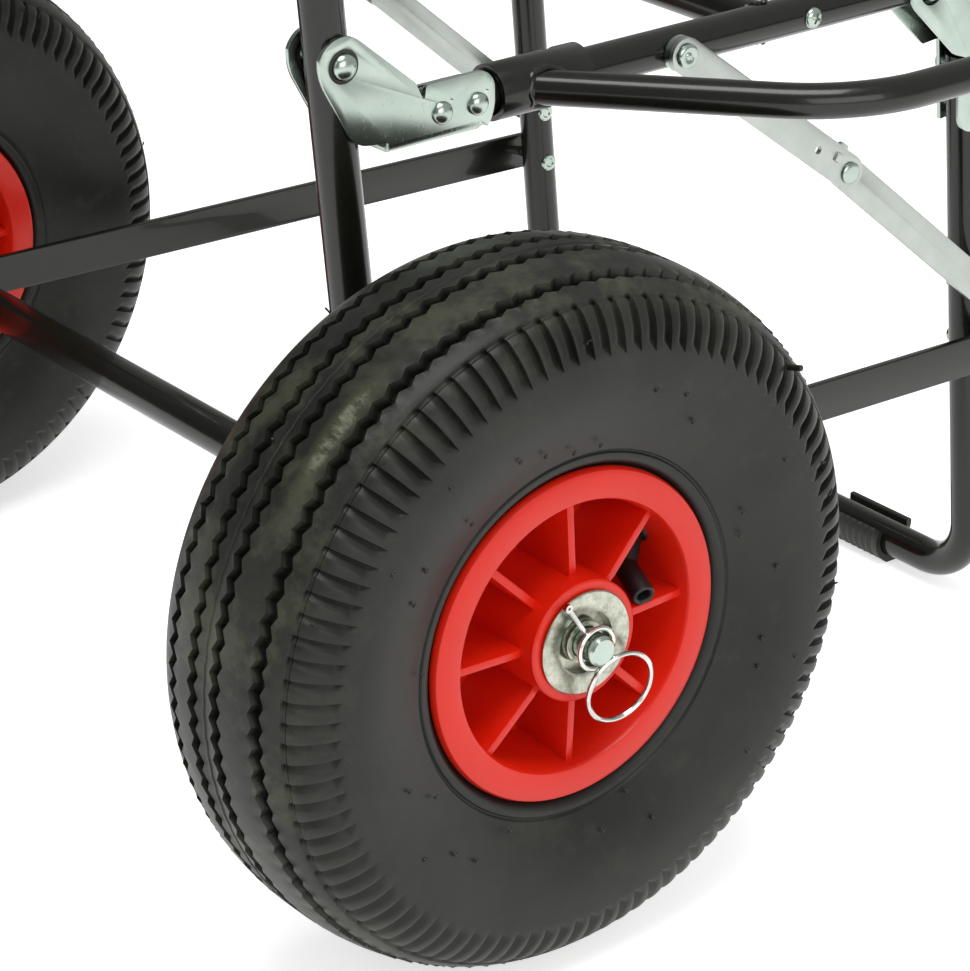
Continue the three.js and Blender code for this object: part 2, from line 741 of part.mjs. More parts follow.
function lowerStay() {
  return link(knee, stayFoot, stayWidth, lowerStayInner, lowerStayOuter,
    [{ place: stayFoot, diameter: pivotBore }]);
}

function kneeRivet() {
  return headedPin(knee, rivetDiameter, halfSpacing + upperStayInner,
    halfSpacing + upperStayOuter + clearance, kneeHeadDiameter, lowHeadHeight, 0);
}

// Wheels
function tyreProfile() {
  const half = tyreWidth / 2;
  const radius = tyreDiameter / 2;
  const shoulder = radius - tyreShoulderDepth;
  const seat = rimFlangeDiameter / 2 - rimFlangeHeight + clearance;
  const flange = rimFlangeDiameter / 2 + clearance;
  const flangeBack = rimWidth / 2 - rimFlangeThickness - clearance;
  const crown = (inset, angles) => angles.map((degrees) => {
    const t = THREE.MathUtils.degToRad(degrees);
    return [
      shoulder + (tyreShoulderDepth - inset) * Math.sin(t) ** (2 / tyreCrownExponent),
      (half - inset) * Math.cos(t) ** (2 / tyreCrownExponent),
    ];
  });
  const outerSide = [
    [seat, flangeBack * tyreBeadShare], [seat, flangeBack - rimSeatSlope], [flange, flangeBack],
    [flange, rimWidth / 2 - tyreLip],
    [shoulder - (shoulder - flange) * tyreSidewallShare, half - tyreWall / 2],
    ...crown(0, treadDegrees),
  ];
  const innerSide = [...crown(tyreWall, liningDegrees), [flange + tyreWall, flangeBack * tyreBeadShare]];
  const flip = (points) => points.map(([r, along]) => [r, -along]).reverse();
  return [
    ...outerSide, [radius, 0], ...flip(outerSide), ...flip(innerSide), [radius - tyreWall, 0], ...innerSide,
  ];
}

function tyre() {
  return turned(tyreProfile(), wheelFacets, 0, axleHeight).translate(0, halfTrack, 0);
}

function rim() {
  const flange = rimFlangeDiameter / 2;
  const seat = flange - rimFlangeHeight;
  const face = rimWidth / 2;
  const hub = hubDiameter / 2;
  const bore = bearingCupDiameter / 2 + clearance;
  const web = rimWebThickness / 2;
  const half = [
    [bore, hubLength / 2], [hub, hubLength / 2], [hub, web], [seat - rimWall, web],
    [seat - rimWall, face - clearance], [seat, face], [flange, face - rimFlangeThickness / 2],
    [flange, face - rimFlangeThickness], [seat, face - rimFlangeThickness - rimSeatSlope],
  ];
  const other = half.map(([r, along]) => [r, -along]).reverse();
  const barrel = turned([...half, ...other], wheelFacets, 0, 0);
  const ribInner = hub - rimRibThickness;
  const ribOuter = seat - rimWall / 2;
  const ribShape = new THREE.Shape();
  ribShape.moveTo(ribInner, 0);
  ribShape.lineTo(ribOuter, 0);
  ribShape.lineTo(ribOuter, face * rimRibEdgeShare);
  ribShape.lineTo(ribInner, face * rimRibHubShare);
  ribShape.closePath();
  const ribs = [];
  for (let k = 0; k < rimRibCount; k += 1) {
    const outward = new THREE.ExtrudeGeometry(ribShape, { depth: rimRibThickness, bevelEnabled: false });
    outward.translate(0, 0, -rimRibThickness / 2).rotateY(k * Math.PI * 2 / rimRibCount);
    ribs.push(outward, mirrored(outward));
  }
  const angle = THREE.MathUtils.degToRad(valveHoleAngleDegrees);
  const out = new THREE.Vector3(Math.cos(angle), 0, Math.sin(angle));
  const reach = new THREE.Vector3(0, valveRootReach, 0);
  const hole = rod(out.clone().multiplyScalar(seat - rimWall - valveDiameter).add(reach),
    out.clone().multiplyScalar(flange).add(reach), valveDiameter + clearance * 2, smallFacets);
  return cut(join(barrel, ...ribs), hole).translate(0, halfTrack, axleHeight);
}

function bearing(side) {
  const cup = bearingCupDiameter / 2;
  const seat = hubLength / 2 + clearance;
  const floor = seat - bearingCupDepth;
  const bore = pinBore;
  const ringRadius = bearingRingDiameter / 2;
  const profile = [
    [bore, floor], [cup, floor], [cup, seat], [bearingFlangeDiameter / 2, seat],
    [bearingFlangeDiameter / 2, hubFace], [cup - bearingSheet, hubFace],
    [cup - bearingSheet, floor + bearingSheet], [ringRadius, floor + bearingSheet], [ringRadius, seat],
    [bore, seat],
  ];
  return turned(profile.map(([r, along]) => [r, side * along]), ringFacets, 0, axleHeight)
    .translate(0, halfTrack, 0);
}

// A bent rubber valve stem from its hole in the rim, with its cap turned outward.
function valve() {
  const seat = rimFlangeDiameter / 2 - rimFlangeHeight;
  const axle = new THREE.Vector3(0, halfTrack, axleHeight);
  const at = (degrees, distance, reach) => axle.clone().addScaledVector(inWheelPlane(degrees), distance)
    .add(new THREE.Vector3(0, reach, 0));
  const root = at(valveHoleAngleDegrees, seat, valveRootReach);
  const throat = at(valveHoleAngleDegrees, seat - rimWall - valveDiameter * valveThroatShare, valveRootReach);
  const bend = at(valveBendAngleDegrees, valveBendDistance, valveBendReach);
  const cap = at(valveCapAngleDegrees, valveCapDistance, valveCapReach);
  const route = new BentRoute([root, throat, bend, cap], valveDiameter / 2 + clearance);
  const section = new THREE.Shape().absarc(0, 0, valveDiameter / 2 - clearance, 0, Math.PI * 2);
  return new THREE.ExtrudeGeometry(section, {
    steps: route.steps, curveSegments: valveFacets / 2, extrudePath: route,
  });
}

add('axle_tube', steelBlack, axleTube());
add('back_tube', steelBlack, backTube());
add('back_brace', steelBlack, backBrace());
add('handle_grip', gripFoam, handleGrip());
addPair('axle_pin', zinc, axlePin());
addPair('axle_washer', zinc, axleWasher());
addPair('ring_clip', zinc, ringClip());
addPair('pivot_bolt', zinc, pivotBolt());

add('platform_tube', steelBlack, platformTube());
add('cross_tube', steelBlack, crossTube());
addPair('rear_bracket', zinc, rearBracket());
addPair('leg_pivot', zinc, legPivotPin());
addPair('stay_rivet', zinc, stayRivet());
addPair('tube_screw', zinc, tubeScrew());

addPair('bow_tube', steelBlack, bowTube());
addPair('bow_sleeve_rear', steelBlack, bowSleeve(sleeveRear, slotPosition));
addPair('bow_sleeve_front', steelBlack,
  bowSleeve(bowMiddle * 2 - sleeveRear - sleeveLength, bowMiddle * 2 - slotPosition));

add('leg_tube', steelBlack, legTube());
addPair('leg_bracket', zinc, legBracket());
addPair('foot_clip', blackPlastic, footClip());
addPair('stay_foot_rivet', zinc, stayFootRivet());

addPair('side_bar', steelBlack, sideBar());
addPair('bar_sleeve', steelBlack, barSleeve());
addPair('bar_rivet', zinc, barRivet());

addPair('upper_stay', zinc, upperStay());
addPair('knee_rivet', zinc, kneeRivet());
addPair('lower_stay', zinc, lowerStay());

addPair('tyre', tyreRubber, tyre());
addPair('rim', redPlastic, rim());
addPair('bearing_outer', zinc, bearing(1));
addPair('bearing_inner', zinc, bearing(-1));
addPair('valve', blackPlastic, valve());

export default trolley;
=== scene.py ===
import random
from math import atan2, copysign, cos, degrees, hypot, pi, radians, sin, sqrt, tan, tau

import bmesh
import bpy
from mathutils import Matrix, Vector

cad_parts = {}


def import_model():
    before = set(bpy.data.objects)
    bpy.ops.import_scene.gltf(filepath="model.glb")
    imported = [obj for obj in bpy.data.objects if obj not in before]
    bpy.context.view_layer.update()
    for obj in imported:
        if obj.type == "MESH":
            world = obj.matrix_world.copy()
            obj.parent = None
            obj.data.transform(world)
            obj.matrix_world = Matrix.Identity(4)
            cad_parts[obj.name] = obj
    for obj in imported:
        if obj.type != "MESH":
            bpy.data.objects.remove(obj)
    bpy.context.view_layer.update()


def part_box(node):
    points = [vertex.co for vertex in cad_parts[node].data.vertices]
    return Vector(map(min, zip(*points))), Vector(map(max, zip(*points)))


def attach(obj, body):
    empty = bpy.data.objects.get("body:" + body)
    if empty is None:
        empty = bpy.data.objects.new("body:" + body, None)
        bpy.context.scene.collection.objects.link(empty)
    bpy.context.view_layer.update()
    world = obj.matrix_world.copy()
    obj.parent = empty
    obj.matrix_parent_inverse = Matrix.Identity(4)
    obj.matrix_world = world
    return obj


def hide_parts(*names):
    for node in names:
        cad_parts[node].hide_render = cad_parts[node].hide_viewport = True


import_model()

# Shapes are drawn in millimetres, X forward from the axle, and moved to the trolley's frame when
# they are finished.
MM = 0.001
axle_low, axle_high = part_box("axle_tube")
AXLE = (axle_low + axle_high) / 2 / MM

# The frame's sizes
HALF_SPACING = 141.2
HALF_TRACK = 226.2
AXLE_HEIGHT, AXLE_END, AXLE_BORE = 130.0, 184.1, 5.7
HANDLE_HEIGHT, BRACE_HEIGHT = 950, 715
PLATFORM_HEIGHT, PLATFORM_FRONT, CROSS_TUBE_PLACE = 281.3, 438, 186.3
UPRIGHT_TUBE, FRAME_TUBE, BOW_TUBE = 16, 15, 13
LEG_START, LEG_END = 35.8, 273.976
BRACKET_OFFSET = 26.5
EAR = 10.1
# The front sleeve mirrors the rear one within this span, and so does its stop pin.
SLEEVES_SPAN, SLEEVE_START, SLEEVE_LENGTH, STOP_PLACE = 450, 55.2, 41, 84.6
LEAN = radians(5.1)
SPLAY = radians(4.8)
BACK_PIVOT = Vector((-14.17, HALF_SPACING, 307.8))
LEG_DOWN = Vector((sin(SPLAY), 0, -cos(SPLAY)))
LEG_AHEAD = Vector((cos(SPLAY), 0, sin(SPLAY)))
KNEE = Vector((222.55, HALF_SPACING, 216.91))


def on_tube(x):
    """A point on the centre line of the platform tube's left side."""
    return Vector((x, HALF_SPACING, PLATFORM_HEIGHT))


STAY_TOP, LEG_PIVOT = on_tube(138.0), on_tube(265.1)


def on_leg(drop):
    """A point on the left leg's centre line."""
    return LEG_PIVOT + LEG_AHEAD * BRACKET_OFFSET + LEG_DOWN * drop


def on_upright(side, height):
    return Vector((1.7 - tan(LEAN) * (height - AXLE_HEIGHT), side * HALF_SPACING, height))


BAR_PIVOT = on_leg(161.5)
STAY_FOOT = on_leg(136.6)
FOOT = on_leg(LEG_END)


# The tyre's crown and the scuff on it
CROWN_EXPONENT = 2.49
CROWN_BASE, CROWN_RISE, CROWN_HALF = 99.35, 30.65, 43.2
SCUFF_ANGLE, SCUFF_OFFSET = radians(132), 18.0
SCUFF_HALF_LENGTH, SCUFF_HALF_WIDTH = 24, 4.2


# Finishes
def arithmetic(operation):
    """A method that puts a signal, with any others, through one operation."""
    return lambda signal, *others: signal.nodes.sum(operation, signal, *others)


class Signal:
    """A socket in a tree of nodes that takes part in arithmetic."""
    __add__ = arithmetic("ADD")
    __sub__ = arithmetic("SUBTRACT")
    __mul__ = arithmetic("MULTIPLY")
    __truediv__ = arithmetic("DIVIDE")
    __pow__ = arithmetic("POWER")
    __abs__ = arithmetic("ABSOLUTE")
    root = arithmetic("SQRT")

    def __init__(self, nodes, socket):
        self.nodes = nodes
        self.socket = socket

    def __rsub__(self, other):
        return self.nodes.sum("SUBTRACT", other, self)

    def steps(self, low, high, kind="SMOOTHSTEP"):
        """Nought at one value and one at another, with a soft step between them."""
        return self.nodes.add("MapRange", {"Value": self, "From Min": low, "From Max": high},
                              interpolation_type=kind)


class Nodes:
    """A tree of shader nodes that is built from values and signals."""

    def __init__(self, tree):
        self.tree = tree

    def add(self, kind, sockets, output=0, **settings):
        node = self.tree.nodes.new("ShaderNode" + kind)
        for setting, value in settings.items():
            setattr(node, setting, value)
        for socket, value in sockets.items():
            self.feed(node.inputs[socket], value)
        return Signal(self, node.outputs[output])

    def feed(self, socket, value):
        if isinstance(value, Signal):
            self.tree.links.new(value.socket, socket)
        else:
            socket.default_value = value

    def sum(self, operation, *terms):
        return self.add("Math", dict(enumerate(terms)), operation=operation)


class Finish(Nodes):
    """A material that is built up from textures on the piece's own coordinates."""

    def __init__(self, name, **surface):
        self.material = bpy.data.materials.new(name)
        self.material.use_nodes = True
        super().__init__(self.material.node_tree)
        self.tree.nodes.clear()
        self.shader = self.tree.nodes.new("ShaderNodeBsdfPrincipled")
        output = self.tree.nodes.new("ShaderNodeOutputMaterial")
        self.tree.links.new(self.shader.outputs[0], output.inputs["Surface"])
        self.where = self.add("TexCoord", {}, "Object")
        self.set(**surface)

    def set(self, **surface):
        for name, value in surface.items():
            self.feed(self.shader.inputs[name.replace("_", " ").title().replace("Ior", "IOR")], value)
        return self.material

    def noise(self, scale, detail=3.0, roughness=0.55, stretch=(1, 1, 1)):
        where = self.add("Mapping", {"Vector": self.where, "Scale": stretch})
        return self.add("TexNoise", {"Vector": where, "Scale": scale, "Detail": detail,
                                     "Roughness": roughness})

    def cells(self, scale):
        return self.add("TexVoronoi", {"Vector": self.where, "Scale": scale}, "Distance")

    def blend(self, factor, first, second):
        return self.add("Mix", {0: factor, 6: first, 7: second}, 2, data_type="RGBA", clamp_factor=True)

    def bump(self, height, strength, depth):
        return self.add("Bump", {"Height": height, "Strength": strength, "Distance": depth})

    def places(self):
        """The X, Y and Z of a point on the piece, in millimetres."""
        return [self.add("SeparateXYZ", {0: self.where}, axis) * (1 / MM) for axis in range(3)]


def colour(red, green, blue):
    """A colour as it is seen on a screen, from 0 to 255, as the shader takes it."""
    def linear(value):
        share = value / 255
        return share / 12.92 if share <= 0.04045 else ((share + 0.055) / 1.055) ** 2.4
    return (linear(red), linear(green), linear(blue), 1.0)


def powder_coat():
    finish = Finish("gloss_black_powder_coat", metallic=0.0, coat_weight=0.3, coat_roughness=0.05,
                    specular_ior_level=0.32)
    cloud = finish.noise(14, 3.0)
    peel = finish.noise(900, 2.0)
    dust = finish.noise(2600, 1.0).steps(0.70, 0.78)
    return finish.set(
        base_color=finish.blend(dust * 0.25, finish.blend(cloud, colour(10, 10, 6), colour(21, 21, 15)),
                                colour(104, 102, 94)),
        roughness=cloud * 0.08 + 0.2,
        normal=finish.bump(peel, 0.08, 0.0004))


def bright_zinc(name, light, dark, roughness, mottle):
    finish = Finish(name, metallic=1.0)
    cloud = finish.noise(60, 4.0, 0.6)
    fleck = finish.noise(420, 4.0, 0.7)
    scratch = finish.noise(900, 2.0, 0.5, (1, 0.06, 0.3)).steps(0.66, 0.72)
    shade = cloud * (1 - mottle) + fleck * mottle
    return finish.set(
        base_color=finish.blend(shade.steps(0.34, 0.66), dark, light),
        roughness=shade * 0.1 + roughness + scratch * 0.08,
        normal=finish.bump(fleck + scratch * 0.4, 0.04, 0.0002))


def red_plastic():
    finish = Finish("moulded_red_plastic", metallic=0.0, coat_weight=0.1, coat_roughness=0.2,
                    specular_ior_level=0.4)
    cloud = finish.noise(30, 3.0)
    grain = finish.noise(1500, 2.0)
    scuff = finish.noise(180, 5.0, 0.7, (1, 1, 0.4)).steps(0.64, 0.74)
    return finish.set(
        base_color=finish.blend(scuff * 0.12, finish.blend(cloud, colour(212, 26, 4), colour(222, 34, 8)),
                                colour(230, 84, 60)),
        roughness=cloud * 0.08 + 0.34 + scuff * 0.08,
        normal=finish.bump(grain, 0.05, 0.0003))


def tyre_rubber():
    """Grey-black rubber with painted shade low in its grooves, chalky on its crown and scuffed at one place.
    """
    finish = Finish("tyre_rubber", metallic=0.0, specular_ior_level=0.28)
    x, y, z = finish.places()
    x = x - AXLE.x
    z = z - AXLE_HEIGHT
    radius = (x ** 2 + z ** 2).root()
    offset = abs(abs(y) - HALF_TRACK)
    share = (offset / CROWN_HALF).steps(0, 1, "LINEAR")
    hill = (1 - share ** CROWN_EXPONENT) ** (1 / CROWN_EXPONENT)
    # How far the surface lies below the crown, within the tread: the mask of the painted shade in the
    # grooves.
    sunk = (hill * CROWN_RISE + CROWN_BASE - radius).steps(0.7, 2.6) * offset.steps(34, 33)
    along = x * sin(SCUFF_ANGLE) - z * cos(SCUFF_ANGLE)
    toward = x * cos(SCUFF_ANGLE) + z * sin(SCUFF_ANGLE)
    mark = ((along / SCUFF_HALF_LENGTH) ** 2
            + ((y + HALF_TRACK + SCUFF_OFFSET) / SCUFF_HALF_WIDTH) ** 2
            + radius.steps(118, 116) * 9 + toward.steps(100, 90) * 9)
    cloud = finish.noise(22, 5.0, 0.6)
    grain = finish.noise(1300, 3.0)
    chalk = finish.noise(70, 6.0, 0.65).steps(0.5, 0.72)
    wall = radius.steps(100, 66)
    scuff = (radius.steps(112, 126) * finish.noise(34, 5.0, 0.7).steps(0.46, 0.66)) * 0.4
    shade = finish.blend(cloud.steps(0.35, 0.7), colour(22, 23, 19), colour(36, 37, 32))
    shade = finish.blend(chalk * 0.2, shade, colour(74, 76, 62))
    shade = finish.blend(scuff, shade, colour(84, 88, 68))
    shade = finish.blend(mark.steps(2.0, 0.6) * 0.5, shade, colour(62, 66, 46))
    rubbed = mark.steps(0.8, 0.1) * finish.noise(140, 6.0, 0.75, (1, 0.4, 1)).steps(0.42, 0.62)
    shade = finish.blend(rubbed * 0.7, shade, colour(124, 128, 106))
    # Painted shade: the groove floors are darkened towards near-black.
    shade = finish.blend(sunk * 0.8, shade, colour(8, 8, 7))
    return finish.set(
        base_color=finish.blend(wall * 0.2, shade, colour(44, 45, 42)),
        roughness=cloud * 0.14 + 0.36 + chalk * 0.1,
        normal=finish.bump(grain + cloud * 0.6, 0.14, 0.0005))


def ribbed_plastic():
    finish = Finish("black_plastic", metallic=0.0, roughness=0.5)
    grain = finish.noise(700, 3.0)
    return finish.set(
        base_color=finish.blend(grain, colour(24, 24, 21), colour(38, 38, 33)),
        normal=finish.bump(grain, 0.12, 0.0004))


def valve_rubber():
    finish = Finish("valve_rubber", metallic=0.0)
    cloud = finish.noise(160, 3.0)
    return finish.set(
        base_color=finish.blend(cloud, colour(10, 10, 11), colour(20, 20, 21)),
        roughness=cloud * 0.15 + 0.38,
        normal=finish.bump(finish.noise(1600, 2.0), 0.08, 0.0003))


def grip_foam():
    finish = Finish("grip_foam", metallic=0.0)
    pores = finish.cells(900)
    cloud = finish.noise(120, 3.0)
    return finish.set(
        base_color=finish.blend(cloud, colour(22, 22, 22), colour(36, 36, 35)),
        roughness=cloud * 0.1 + 0.82,
        normal=finish.bump(pores, 0.35, 0.0006))


# Each finish with the name of its slot
BLACK = powder_coat(), "frame_black"
ZINC = bright_zinc("bright_zinc_plate", colour(180, 192, 182), colour(168, 181, 172), 0.2, 0.12), "zinc"
STAY_ZINC = bright_zinc("satin_zinc_strip", colour(176, 181, 176), colour(167, 172, 167), 0.26, 0.2), "zinc"
HUB_ZINC = bright_zinc("mottled_zinc_plate", colour(190, 191, 177), colour(140, 143, 128), 0.24, 0.6), "zinc"
WIRE_ZINC = bright_zinc("zinc_wire", colour(214, 214, 208), colour(180, 182, 178), 0.12, 0.2), "zinc"
RED = red_plastic(), "red_plastic"
RUBBER = tyre_rubber(), "tyre_rubber"
PLASTIC = ribbed_plastic(), "black_plastic"
VALVE = valve_rubber(), "valve_rubber"
FOAM = grip_foam(), "grip_foam"


# Shapes
BORE_DEPTH = 24


def only(kind, items):
    """Those of the items that are vertices or that are edges."""
    return [item for item in items if isinstance(item, kind)]


def placed(name, data):
    item = bpy.data.objects.new(name, data)
    bpy.context.scene.collection.objects.link(item)
    return item


def meshed(name, shape):
    """A mesh from a shape, which it uses up."""
    mesh = bpy.data.meshes.new(name)
    shape.to_mesh(mesh)
    shape.free()
    return mesh


def evaluated(item):
    """The shape of an object with its modifiers or its bevel applied."""
    done = bpy.data.meshes.new_from_object(item.evaluated_get(bpy.context.evaluated_depsgraph_get()))
    shape = bmesh.new()
    shape.from_mesh(done)
    bpy.data.meshes.remove(done)
    return shape


def tidy(shape, gap=0.002):
    """Merges doubles and turns the faces outward."""
    bmesh.ops.remove_doubles(shape, verts=shape.verts, dist=gap)
    bmesh.ops.recalc_face_normals(shape, faces=shape.faces)
    return shape


def turned(profile, steps=64):
    """A turned shape round the Y axis from a chain of (radius, place along the axis)."""
    shape = bmesh.new()
    chain = [shape.verts.new((radius, along, 0)) for radius, along in profile]
    edges = [shape.edges.new(pair) for pair in zip(chain, chain[1:])]
    bmesh.ops.spin(shape, geom=chain + edges, cent=(0, 0, 0), axis=(0, 1, 0),
                   angle=tau, steps=steps, use_merge=True)
    return tidy(shape)


def ring(inner, outer, start, end):
    return [(inner, start), (outer, start), (outer, end), (inner, end), (inner, start)]


def rounded(shape, geom, width, segments, affect="EDGES", clamp=True):
    bmesh.ops.bevel(shape, geom=geom, offset=width, offset_type="OFFSET", segments=segments,
                    profile=0.5, affect=affect, clamp_overlap=clamp, material=-1)
    return shape


def soften(shape, width, angle=32):
    """Rounds every edge that is sharper than an angle."""
    sharp = [edge for edge in shape.edges
             if len(edge.link_faces) == 2 and edge.calc_face_angle() > radians(angle)]
    return rounded(shape, sharp, width, 2)


def extruded(shape, step):
    """Draws a flat face out into a solid."""
    fresh = bmesh.ops.extrude_face_region(shape, geom=shape.faces[:], use_keep_orig=True)["geom"]
    bmesh.ops.translate(shape, vec=step, verts=only(bmesh.types.BMVert, fresh))
    bmesh.ops.recalc_face_normals(shape, faces=shape.faces)
    return shape


def moved(shape, step, matrix=None):
    if matrix is not None:
        bmesh.ops.transform(shape, matrix=matrix.to_4x4(), verts=shape.verts)
    bmesh.ops.translate(shape, vec=Vector(step), verts=shape.verts)
    return shape


def mirrored(shape):
    twin = shape.copy()
    bmesh.ops.scale(twin, vec=(1, -1, 1), verts=twin.verts)
    bmesh.ops.reverse_faces(twin, faces=twin.faces)
    return twin


def joined(*shapes):
    """One shape from several, which it uses up."""
    whole = bmesh.new()
    for shape in shapes:
        mesh = meshed("loose", shape)
        whole.from_mesh(mesh)
        bpy.data.meshes.remove(mesh)
    return whole


def run_on(shape, loop, step, scale=None, about=None):
    """Draws a loop of edges out by a step, after scaling it about a point, to a new loop."""
    fresh = bmesh.ops.extrude_edge_only(shape, edges=loop)["geom"]
    ends = only(bmesh.types.BMVert, fresh)
    if scale is not None:
        move = Matrix.Translation(about) @ Matrix.Scale(scale, 4) @ Matrix.Translation(-about)
        bmesh.ops.transform(shape, matrix=move, verts=ends)
    bmesh.ops.translate(shape, verts=ends, vec=step)
    return [edge for edge in only(bmesh.types.BMEdge, fresh) if all(end in ends for end in edge.verts)]


def end_of_tube(shape, loop, at, inward, radius, wall):
    """A tube's open end: its rim, a stretch of its bore and the bottom behind it."""
    if wall:
        loop = run_on(shape, loop, Vector(), (radius - wall) / radius, at)
        loop = run_on(shape, loop, inward * BORE_DEPTH)
    bmesh.ops.contextual_create(shape, geom=loop)


def bent_tube(corners, diameter, bend_radius, wall=1.2, facets=32, bend_steps=12):
    """A tube through a chain of corners, round at each inner one. Without a wall it is solid."""
    shape = bmesh.new()
    route = [Vector(corner) for corner in corners]
    out = heading = (route[1] - route[0]).normalized()
    first = bmesh.ops.create_circle(shape, cap_ends=False, segments=facets, radius=diameter / 2)["verts"]
    facing = heading.to_track_quat("Z", "Y").to_matrix().to_4x4()
    bmesh.ops.transform(shape, matrix=Matrix.Translation(route[0]) @ facing, verts=first)
    loop = start_loop = shape.edges[:]
    at = route[0]
    for corner, after in zip(route[1:], route[2:]):
        leaving = (after - corner).normalized()
        angle = heading.angle(leaving)
        setback = bend_radius * tan(angle / 2)
        bend_start = corner - heading * setback
        loop = run_on(shape, loop, bend_start - at)
        side = (leaving - heading * heading.dot(leaving)).normalized()
        ends = list({end for edge in loop for end in edge.verts})
        spun = bmesh.ops.spin(shape, geom=ends + loop, cent=bend_start + side * bend_radius,
                              axis=heading.cross(leaving).normalized(), angle=angle,
                              steps=bend_steps, use_merge=False)["geom_last"]
        loop = only(bmesh.types.BMEdge, spun)
        at = corner + leaving * setback
        heading = leaving
    loop = run_on(shape, loop, route[-1] - at)
    end_of_tube(shape, start_loop, route[0], out, diameter / 2, wall)
    end_of_tube(shape, loop, route[-1], -heading, diameter / 2, wall)
    bmesh.ops.recalc_face_normals(shape, faces=shape.faces)
    return shape


def plate(outline, start, end, edge=0.35):
    """A flat plate from an outline of (X, Z, corner radius), between two planes across Y."""
    shape = bmesh.new()
    corners = [shape.verts.new((x, start, z)) for x, z, _ in outline]
    shape.faces.new(corners)
    radii = [radius for *_, radius in outline]
    for size in sorted(set(radii) - {0}):
        round_ones = [corner for corner, radius in zip(corners, radii)
                      if radius == size and corner.is_valid]
        rounded(shape, round_ones, size, 8, "VERTICES")
    extruded(shape, (0, end - start, 0))
    return soften(shape, edge) if edge else shape


def arc(x, z, radius, start, end, steps):
    """Points on an arc in X and Z, its angles in degrees."""
    return [(x + radius * cos(radians(start + (end - start) * k / steps)),
             z + radius * sin(radians(start + (end - start) * k / steps)))
            for k in range(steps + 1)]


def carved(shape, *tools):
    """A shape less its tools, all of which it uses up."""
    body, *items = [placed("loose", meshed("loose", part)) for part in (shape, *tools)]
    for item in items:
        cut = body.modifiers.new("cut", "BOOLEAN")
        cut.object = item
        cut.operation = "DIFFERENCE"
        cut.solver = "EXACT"
    result = evaluated(body)
    for item in (body, *items):
        mesh = item.data
        bpy.data.objects.remove(item)
        bpy.data.meshes.remove(mesh)
    return result


def rod(start, end, diameter, facets=32):
    """A solid rod between two points."""
    start, end = Vector(start), Vector(end)
    shape = bmesh.new()
    bmesh.ops.create_cone(shape, cap_ends=True, segments=facets, radius1=diameter / 2,
                          radius2=diameter / 2, depth=(end - start).length)
    return moved(shape, (start + end) / 2, (end - start).to_track_quat("Z", "Y").to_matrix())


def wire(points, diameter, closed=False):
    """A bent wire that follows a chain of points softly."""
    curve = bpy.data.curves.new("loose", "CURVE")
    curve.dimensions = "3D"
    curve.bevel_depth = diameter / 2
    curve.bevel_resolution = 3
    curve.use_fill_caps = True
    spline = curve.splines.new("NURBS")
    spline.points.add(len(points) - 1)
    for node, point in zip(spline.points, points):
        node.co = (*point, 1)
    spline.use_cyclic_u = closed
    spline.order_u = 4
    spline.use_endpoint_u = not closed
    spline.resolution_u = 4
    item = placed("loose", curve)
    shape = evaluated(item)
    bpy.data.objects.remove(item)
    bpy.data.curves.remove(curve)
    return tidy(shape)


def weld_bead(centre, along, radius, host_axis, host_centre, host_radius, size=1.6, lumps=15):
    """A lumpy bead where a tube meets the side of another."""
    along = Vector(along).normalized()
    host_axis = Vector(host_axis).normalized()
    across = along.cross(host_axis).normalized()
    up = across.cross(along).normalized()
    points = []
    count = lumps * 4
    for k in range(count):
        angle = tau * k / count
        ripple = 1 + 0.05 * sin(tau * k / 4)
        point = Vector(centre) + (across * cos(angle) + up * sin(angle)) * radius * ripple
        flat = point - Vector(host_centre)
        flat -= host_axis * flat.dot(host_axis)
        gap = flat - along * flat.dot(along)
        reach = sqrt(max(host_radius ** 2 - gap.length_squared, 0))
        points.append(point + along * (reach - flat.dot(along)))
    return wire(points, size, closed=True)


def rounded_head(radius, height, shank, inside, rim=0.5, steps=8):
    """The profile of a domed head with a short shank behind it, from its crown back."""
    crown = [(radius * sin(pi / 2 * k / steps),
              rim + (height - rim) * cos(pi / 2 * k / steps)) for k in range(steps + 1)]
    return crown + [(radius, 0), (shank, 0), (shank, -inside), (0, -inside)]


def finished(name, shape, finish, body, nodes=(), angle=34):
    """A finished shape in millimetres becomes a piece that rides on a body."""
    bmesh.ops.translate(shape, vec=(AXLE.x, 0, 0), verts=shape.verts)
    bmesh.ops.scale(shape, vec=(MM, MM, MM), verts=shape.verts)
    material, slot = finish
    mesh = meshed(name, shape)
    mesh.shade_smooth()
    mesh.set_sharp_from_angle(angle=radians(angle))
    mesh.materials.append(material)
    item = placed(name, mesh)
    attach(item, body)
    if nodes:
        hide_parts(*nodes)


def pair(name, shape, finish, body, nodes=(), angle=34):
    """A left piece and its mirrored right twin. Bodies and nodes are named without their side."""
    twin = mirrored(shape)
    for side, item in (("left", shape), ("right", twin)):
        where = body if body in ("back_frame", "platform", "leg") else f"{body}_{side}"
        finished(f"{name}_{side}", item, finish, where, [f"{node}_{side}" for node in nodes], angle)


